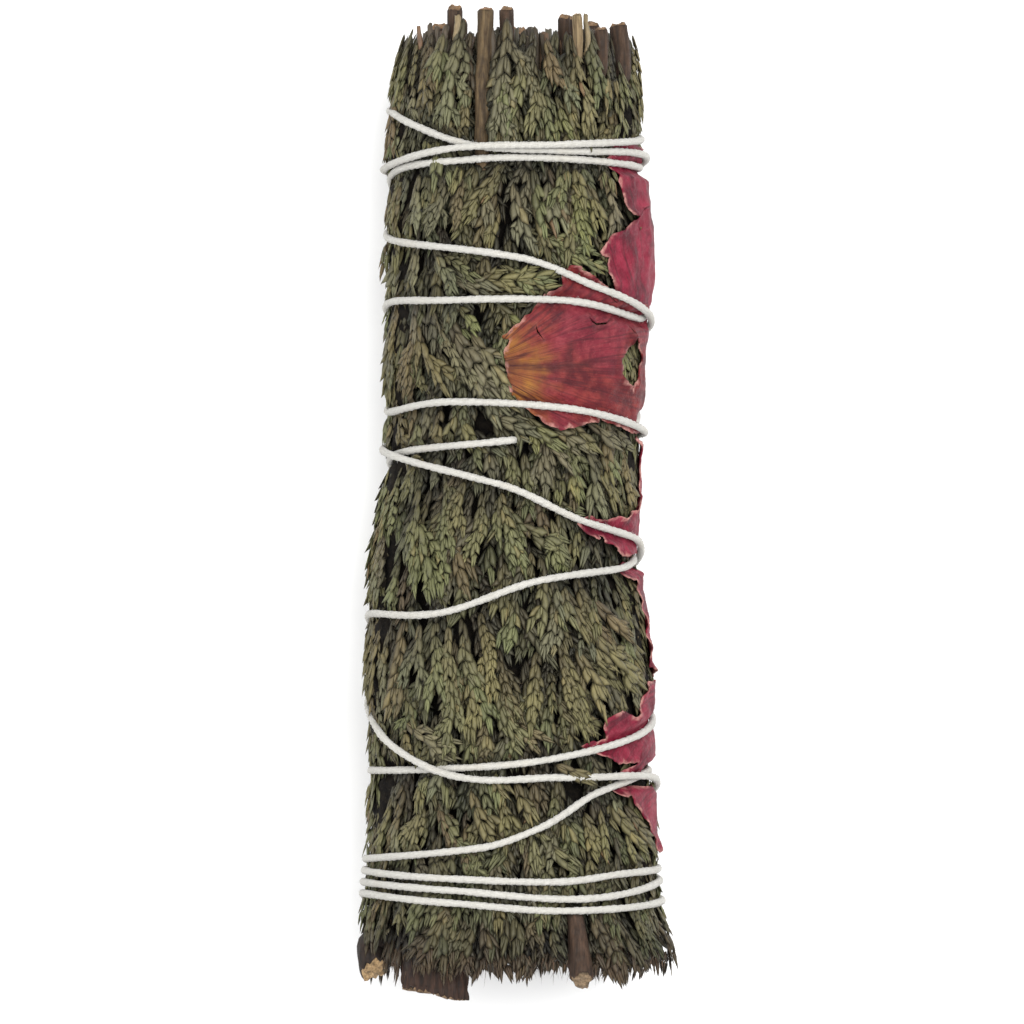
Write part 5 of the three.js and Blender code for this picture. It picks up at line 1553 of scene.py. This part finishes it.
# Steps inside a petal and along its edge. A loop of more corners than this is a hole, whose
# rim is pale, and not a thin tear.
PETAL_CELL = 0.42
PETAL_EDGE_STEP = 0.2
HOLE_CORNERS = 24


def frayed(corners, seed):
    """A finer outline with small tears. Corners run round the petal or hole."""
    closed = np.vstack([corners, corners[:1]])
    gone = arc_lengths(closed)
    at = np.linspace(0, gone[-1], int(gone[-1] / PETAL_EDGE_STEP), endpoint=False)
    line = resampled(closed, gone, at)
    way = np.roll(line, -1, 0) - np.roll(line, 1, 0)
    aside = unit(np.stack([-way[:, 1], way[:, 0]], -1))
    wander = 0.1 * ripple(at, 0 * at, 1.3, seed) + 0.05 * ripple(at, 0 * at, 0.5, seed + 1)
    notch = smooth((ripple(at, 0 * at, 2.4, seed + 2) - 0.75) / 0.3) * 0.3
    return line + aside * (wander + notch)[:, None]


def tear_outline(points):
    """A thin pointed outline round a line of points."""
    line = flat_outline(points)
    way = unit(np.gradient(line, axis=0))
    aside = np.stack([-way[:, 1], way[:, 0]], -1) * TEAR_WIDTH
    aside[0] = aside[-1] = 0
    return np.vstack([line + aside, (line - aside)[-2:0:-1]])


def triangulated(loops, grid):
    """Flat points and triangles that keep to the loops' lines."""
    borders = []
    first = 0
    for loop in loops:
        count = len(loop)
        borders += [(first + a, first + (a + 1) % count) for a in range(count)]
        first += count
    points = [Vector(point) for point in np.vstack([*loops, grid]).tolist()]
    flat, _, faces, *_ = delaunay_2d_cdt(points, borders, [], 0, 1e-5)
    flat = np.array([tuple(point) for point in flat])
    return flat, np.array([face for face in faces if len(face) == 3])


def petal_mesh(corners, holes, seed):
    """Flat points and triangles inside an outline and outside its holes, and how far each
    point is from the edge."""
    edge = frayed(corners, seed)
    random = np.random.default_rng(seed)
    spans = [np.arange(low, high, PETAL_CELL) for low, high in zip(edge.min(0), edge.max(0))]
    grid = np.stack(np.meshgrid(*spans), -1).reshape(-1, 2)
    grid = grid + random.uniform(-0.12, 0.12, grid.shape) * PETAL_CELL * 2
    grid = grid[inside(edge, grid) > 0.16]
    for loop in holes:
        grid = grid[inside(loop, grid) < -0.1]
    flat, faces = triangulated([edge, *holes], grid)
    middle = flat[faces].mean(1)
    kept = inside(edge, middle) > 0
    for loop in holes:
        kept &= inside(loop, middle) < 0
    faces = faces[kept]
    side = np.cross(flat[faces[:, 1]] - flat[faces[:, 0]], flat[faces[:, 2]] - flat[faces[:, 0]])
    faces = np.where((side > 0)[:, None], faces, faces[:, ::-1])
    used, order = np.unique(faces, return_inverse=True)
    flat, faces = flat[used], order.reshape(-1, 3)
    edge_room = inside(edge, flat)
    for loop in holes:
        torn = 0.0 if len(loop) > HOLE_CORNERS else 0.17
        edge_room = np.minimum(edge_room, -inside(loop, flat) + torn)
    return flat, faces, np.maximum(edge_room, 0)


def thickened(outer, inner, faces):
    """A closed sheet from two layers of the same triangles, with walls round its borders."""
    count = len(outer)
    sides = np.vstack([faces[:, [0, 1]], faces[:, [1, 2]], faces[:, [2, 0]]])
    there = {tuple(pair) for pair in sides.tolist()}
    border = np.array([(a, b) for a, b in there if (b, a) not in there])
    border = border[np.lexsort((border[:, 1], border[:, 0]))]
    a, b = border[:, 0], border[:, 1]
    walls = np.vstack([np.stack([a, a + count, b + count], -1),
                       np.stack([a, b + count, b], -1)])
    return np.vstack([outer, inner]), np.vstack([faces, faces[:, ::-1] + count, walls])


def petal_zones(name, across, y, edge):
    """Ochre base, pale edge and dark bruises of a petal's points."""
    ochre = np.zeros_like(y)
    bruise = np.zeros_like(y)
    if name == LARGE_PETAL:
        away = np.hypot((across + 1.9) * 0.95, (y - 13.0) * 0.68)
        turn = np.arctan2(y - 14.5, across + 4.4)
        away = away + 1.5 * ripple(turn * 7, away * 0.35, 1.3, 8) + 0.4 * ripple(across, y, 1.4, 12)
        ochre = fade(away, 1.4, 6.2)
        band = fade(np.abs(y - 14.4 - 0.02 * (across - 3) ** 2), 0.05, 0.5)
        bruise = band * fade(across, 5.0, 9.5)
        cross = fade(np.abs(across - 5.2 - 0.1 * (y - 15.6)), 0.1, 0.55)
        bruise = np.maximum(bruise, 0.7 * cross * fade(np.abs(y - 15.4), 1.2, 2.6))
        bruise = np.maximum(bruise, 0.9 * fade(np.hypot(across + 1.0, y - 14.6), 0.1, 1.3))
    spots = ripple(across, y, 1.7, 21)
    bruise = np.maximum(bruise, 0.55 * smooth((spots - 0.8) / 0.5))
    pale = fade(edge, 0.0, 0.2) * smooth(0.6 + 1.1 * ripple(across, y, 1.6, 9))
    return np.stack([ochre, pale, bruise], -1)


def make_petal(name, petal):
    seed = 100 + 10 * list(PETALS).index(name)
    holes = [frayed(HOLE_FLAT, seed + 3)] if name == LARGE_PETAL else []
    holes += [tear_outline(points) for points in PETAL_TEARS.get(name, [])]
    flat, faces, edge = petal_mesh(PETAL_FLATS[name], holes, seed)
    angle = -flat[:, 0] / MEAN_RADIUS
    y = flat[:, 1]
    u = flat[:, 0]
    wave = 0.14 * ripple(u, y, 5.0, seed + 6) + 0.08 * ripple(u, y, 2.0, seed + 7)
    crease = 0.07 * np.abs(ripple(u, y, 1.5, seed + 8))
    curl = 0.5 * fade(edge, 0.0, 1.0) * np.clip(0.5 + ripple(u, y, 3.0, seed + 9), 0.1, 1)
    _, near = string_at(angle % FULL_TURN, y, 0.45, 1.4)
    shown = smooth((angle / DEGREE + 12) / 20)
    depth = petal_depth(angle, y) - (wave - crease + curl * shown) * (1 - near)
    outer = skin(angle, depth, y)
    inner = skin(angle, depth + PETAL_THICKNESS, y)
    outer[..., 2] = np.maximum(outer[..., 2], 0.06)
    inner[..., 2] = np.maximum(inner[..., 2], 0.02)
    points, faces = thickened(outer, inner, faces)
    piece = make_piece(f"{name}_dried", points, faces, petal)
    across = skin(angle, 0.0, y)[..., 0]
    zones = petal_zones(name, across, y, edge)
    paint(piece, "zones", np.vstack([zones, zones]))
    root = PETAL_ROOTS[name]
    away = np.stack([across - root[0], y - root[1]], -1)
    turn = np.arctan2(away[:, 1], away[:, 0] if name == LARGE_PETAL else -away[:, 0])
    fan = np.stack([turn, np.linalg.norm(away, axis=1) * 0.1, 0 * turn + seed * 0.1], -1)
    paint(piece, "fan", np.vstack([fan, fan]))
    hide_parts(name)


# Wood

# Points round a stem, how deep its bark is furrowed, how far apart knots are, and the rings of
# a cut face: their share of the stem's radius, and how far they stand out.
STEM_SIDES = 24
FURROW = 0.13
KNOT_EVERY = 5
CUT_RINGS = ((1.0, 0.0), (0.84, 0.12), (0.5, 0.16))
# Stems that differ from the rest: their bark or wood, and the slot.
STEM_LOOKS = {
    "cedar_stem_pale": ("cedar_wood_bare", "pale_wood"),
    "cedar_wood_split": ("cedar_wood_broken", "pale_wood"),
    "cedar_stem_front": ("cedar_bark_young", "cedar_wood"),
    "cedar_twig_cut": ("cedar_twig_bark", "cedar_wood"),
}
# Stems with a torn end that widen towards it.
TORN_STEMS = ("cedar_twig_cut", "cedar_wood_split")


def bark_relief(s, t, long, radius, seed):
    """How far bark swells over places along and round a stem, and the lines of its grain."""
    random = np.random.default_rng(seed)
    lines = ripple(t * 3, s * 0.12, 1.0, seed + 1) + 0.6 * ripple(t * 7, s * 0.25, 1.0, seed + 2)
    knots = np.zeros_like(s)
    for _ in range(max(1, int(long / KNOT_EVERY))):
        ks, kt = random.uniform(0.1, 0.9) * long, random.uniform(0, FULL_TURN)
        apart = np.hypot(s - ks, np.angle(np.exp(1j * (t - kt))) * radius)
        knots = np.maximum(knots, fade(apart, 0.1, 0.75))
    swell = 1 + FURROW * lines * 0.55 + 0.16 * knots
    return swell * (1 - 0.16 * fade(np.minimum(s, long - s), 0.0, 0.35)), lines


def stem_mesh(centres, radius, seed, step=0.3, cuts=(0.25, 0.25), taper=None, torn=0.0):
    """A barked stem through centres from its lower to its upper end, cut at both ends."""
    gone = arc_lengths(centres)
    long = gone[-1]
    even = np.append(np.arange(0, long - step / 2, step), long)
    line = resampled(centres, gone, even)
    way = unit(np.gradient(line, axis=0))
    side = unit(np.cross(way, np.array([0.0, 0.0, 1.0])))
    up = np.cross(side, way)
    turn = np.arange(STEM_SIDES) / STEM_SIDES * FULL_TURN
    s, t = np.meshgrid(even, turn, indexing="ij")
    swell, lines = bark_relief(s, t, long, radius, seed)
    bend = 0.1 * ripple(even, 0 * even, 6.0, seed + 3) * radius
    line = line + side * bend[:, None]
    shaped = radius * swell
    if taper is not None:
        shaped = shaped * np.interp(even, gone, taper)[:, None]
    rings = (line[:, None] + side[:, None] * (np.cos(t) * shaped)[..., None]
             + up[:, None] * (np.sin(t) * shaped)[..., None])
    rough = 0.12 * radius * (np.cos(turn + 1.0) + np.sin(3 * turn + seed))
    rough = rough + torn * radius * ripple(np.cos(turn) * 4, np.sin(turn) * 4, 1.8, seed + 4)
    back = 0.5 * (1 + np.sin(turn)) * 2 * radius
    reach = np.minimum(1, np.minimum(even, long - even) / (2.4 * radius))[:, None]
    rings[-1] += way[-1] * (rough - cuts[1] * back)[:, None]
    low = (cuts[0] * back + rough)[None, :, None] * way[:, None]
    rings += low * ((1 - reach) * (even < long / 2)[:, None])[..., None]
    grain = np.clip(0.55 + 0.45 * lines, 0, 1)
    return capped(rings, np.stack([0 * grain, grain, 0 * grain], -1), way, radius, seed)


def capped(rings, wood, way, radius, seed):
    """Closes both ends of a stem with cut faces of a few rings and a middle."""
    count, sides = rings.shape[:2]
    points = [rings.reshape(-1, 3)]
    paints = [wood.reshape(-1, 3)]
    faces = [tube_walls(count, sides)]
    start = count * sides
    random = np.random.default_rng(seed + 5)
    for end, outward_way, flipped in ((0, -way[0], True), (-1, way[-1], False)):
        rim = rings[end]
        middle = rim.mean(0)
        first = start
        for share, raised in CUT_RINGS:
            rough = random.normal(0, 0.06 * radius, sides)[:, None] * outward_way
            points.append(middle + (rim - middle) * share + rough + outward_way * raised * radius)
            paints.append(np.tile([1.0, 1.0, 0.0], (sides, 1)))
            if start > first:
                faces.append(ring_faces(start - sides, start, sides, flipped))
            start += sides
        faces.append(ring_faces(0 if flipped else (count - 1) * sides, first, sides, flipped))
        points.append(middle[None] + outward_way * 0.14 * radius)
        paints.append(np.array([[1.0, 0.6, 0.0]]))
        n = np.arange(sides)
        last = start - sides
        fan = np.stack([last + n, last + (n + 1) % sides, 0 * n + start], -1)
        faces.append(fan[:, ::-1] if flipped else fan)
        start += 1
    return np.vstack(points), np.vstack(faces), np.vstack(paints)


def ring_faces(first, second, sides, flipped):
    """Faces between two rings whose points start at two places."""
    n = np.arange(sides)
    m = (n + 1) % sides
    faces = np.vstack([
        np.stack([first + n, first + m, second + m], -1),
        np.stack([first + n, second + m, second + n], -1),
    ])
    return faces[:, ::-1] if flipped else faces


def place_stem(name, centres, radius, seed, material, slot="cedar_wood", **shape):
    points, faces, wood = stem_mesh(centres, radius, seed, **shape)
    points[:, 2] = np.maximum(points[:, 2], 0.02)
    piece = make_piece(f"{name}_bark", points, faces, material)
    paint(piece, "wood", wood)
    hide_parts(name)


def make_surface_stems(barks):
    """Stems that lie on the bundle, with widths and depths that follow string and leaves."""
    for n, (name, (angle, start, end, radius, deep)) in enumerate(SURFACE_STEMS.items()):
        y = np.linspace(min(start, end), max(start, end), 24)
        around = np.full_like(y, angle * DEGREE)
        depth, near = string_at(around, y, 0.4, 1.6)
        sunk = np.maximum(deep, (depth + STRING_D / 2 + radius) * near)
        buried = smooth((STEM_BURIED.get(name, -99.0) - y) / 3.5)
        buried = np.maximum(buried, smooth((y - STEM_HIDDEN_ABOVE.get(name, 99.0)) / 1.4))
        sunk = sunk + 0.12 * np.sin(y * 0.7 + n) + 1.6 * buried
        look, slot = STEM_LOOKS.get(name, ("cedar_bark", "cedar_wood"))
        cuts = (0.8, 0.2) if end < 0 else (0.0, 0.25)
        torn, widths = 0.0, 1 - 0.5 * buried
        if name in TORN_STEMS:
            torn, widths = 0.3, np.interp(y, [end, start], [1.12, 0.74])
        place_stem(name, skin(around, sunk, y), radius, 50 + n, barks[look], slot, cuts=cuts,
                   taper=widths, torn=torn)


def make_inner_stems(bark):
    """Stems that stand out of the top end, and the one at the very middle."""
    for n, (name, (angle, share, radius, out)) in enumerate(END_STEMS.items()):
        middle, half, deep, height = outline(TOP_END - END_STEM_SUNK / 2)
        x = middle + half * share * math.cos(angle * DEGREE)
        z = height + deep * share * math.sin(angle * DEGREE)
        y = np.linspace(TOP_END - END_STEM_SUNK, TOP_END + out, 12)
        place_stem(name, np.stack([x + 0 * y, y, z + 0 * y], -1), radius, 70 + n, bark, step=0.45)
    radius, low, high = MIDDLE_STEM
    y = np.linspace(low, high, 20)
    middle, _, _, height = outline(y)
    place_stem("cedar_stem_middle", np.stack([middle, y, height], -1), radius, 90, bark, step=1.2)


# The piece of bark at the lower left end: place, size and slant, both ends, points round it and
# along it, and the y above which painted shade darkens it under the leaves.
BARK_X = -8.9
BARK_WIDTH = 7.2
BARK_THICK = 4.2
BARK_TOP = 1.9
BARK_TILT = 0.28
BARK_FROM = -44.2
BARK_TO = -51.5
BARK_SIDES = 96
BARK_ROWS = 40
BARK_SHADE_TO = -48.6


def make_bark_piece(bark):
    """A broken length of bark: a flattened, furrowed log with a splintered end."""
    middle, half, deep, height = outline((BARK_FROM + BARK_TO) / 2)
    slant = math.sqrt(1 - ((BARK_X - middle) / half) ** 2)
    centre = height + deep * slant - BARK_TOP - BARK_THICK / 2
    turn = np.arange(BARK_SIDES) / BARK_SIDES * FULL_TURN
    s, t = np.meshgrid(np.linspace(0, 1, BARK_ROWS), turn, indexing="ij")
    y = BARK_FROM + (BARK_TO - BARK_FROM) * s
    below = np.where(np.sin(t) < 0, 0.7, 1.0)
    lines = ripple(t * 6, y * 0.25, 1.0, 91) + 0.5 * ripple(t * 14, y * 0.4, 1.0, 92)
    furrow = 0.93 + 0.06 * lines + 0.04 * ripple(t * 5, y, 1.6, 93)
    x = BARK_X + BARK_WIDTH / 2 * furrow * np.cos(t)
    z = centre + BARK_THICK / 2 * furrow * below * np.sin(t) + BARK_TILT * (x - BARK_X)
    z = z - 1.8 * smooth((y + 47.4) / 2.6)
    splinter = 0.35 * ripple(t * 8, 0 * t, 1.0, 94) + 0.07 * ripple(t * 30, 0 * t, 1.0, 96)
    splinter = splinter + 1.3 * smooth(0.5 - np.cos(t) / 2)
    y = y + np.maximum(0, splinter) * smooth((s - 0.75) / 0.25)
    rings = np.stack([x, y, z], -1)[::-1]
    grain = np.clip(0.5 + 0.4 * lines, 0, 1)[::-1]
    way = np.repeat(np.array([[0.0, 1.0, 0.0]]), BARK_ROWS, 0)
    wood = np.stack([0 * grain, grain, 0 * grain], -1)
    points, faces, wood = capped(rings, wood, way, 0.6, 95)
    # Painted shade: near-black towards the upper end, under the leaves.
    wood[:, 2] = smooth((points[:, 1] - BARK_SHADE_TO) / 1.6)
    piece = make_piece("cedar_bark_piece_rough", points, faces, bark)
    paint(piece, "wood", wood)
    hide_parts("cedar_bark_piece")


# Scene

def make_camera():
    data = bpy.data.cameras.new("camera")
    camera = bpy.data.objects.new("camera", data)
    bpy.context.scene.collection.objects.link(camera)
    data.sensor_width = 36.0
    data.lens = 36.0 * (CAMERA_HEIGHT - EDGE_HEIGHT * MM) / (VIEW_WIDTH * MM)
    data.clip_start = 0.05
    data.clip_end = 10.0
    x = (VIEW_CENTRE[0] + SHIFT[0]) * MM
    y = (VIEW_CENTRE[1] + SHIFT[1]) * MM
    camera.location = (x, y, CAMERA_HEIGHT)
    bpy.context.scene.camera = camera


def make_floor():
    mesh = bpy.data.meshes.new("floor")
    size = 2.0
    corners = [(-size, -size, 0), (size, -size, 0), (size, size, 0), (-size, size, 0)]
    mesh.from_pydata(corners, [], [(0, 1, 2, 3)])
    floor = bpy.data.objects.new("floor", mesh)
    bpy.context.scene.collection.objects.link(floor)
    mesh.materials.append(floor_material())


def make_light(name, place, size, power):
    data = bpy.data.lights.new(name, "AREA")
    data.shape = "SQUARE"
    data.size = size
    data.energy = power
    light = bpy.data.objects.new(name, data)
    bpy.context.scene.collection.objects.link(light)
    light.location = place
    light.rotation_mode = "QUATERNION"
    light.rotation_quaternion = (-Vector(place)).to_track_quat("-Z", "Y")


def make_lights():
    make_light("key", (0.35, 0.3, 1.1), 0.8, 15.0)
    make_light("fill", (-0.5, -0.2, 0.9), 0.9, 6.0)
    world = bpy.data.worlds.new("studio")
    world.use_nodes = True
    world.node_tree.nodes["Background"].inputs[0].default_value = (1, 1, 1, 1)
    world.node_tree.nodes["Background"].inputs[1].default_value = 0.8
    bpy.context.scene.world = world
    bpy.context.scene.view_settings.view_transform = "Standard"


make_camera()
make_floor()
make_lights()
make_foliage(leaf_material(), core_material())
make_string(string_material())
crimson = petal_material("rose_petal_dry", PETAL_REDS, PETAL_REDS)
warm_red = petal_material("rose_petal_dry_warm", PETAL_WARM_REDS, PETAL_DULL_REDS)
for petal_name in PETALS:
    make_petal(petal_name, warm_red if petal_name == LARGE_PETAL else crimson)
barks = {name: bark_material(name, *tones) for name, tones in BARKS.items()}
make_surface_stems(barks)
make_inner_stems(barks["cedar_bark"])
make_bark_piece(barks["cedar_bark_torn"])
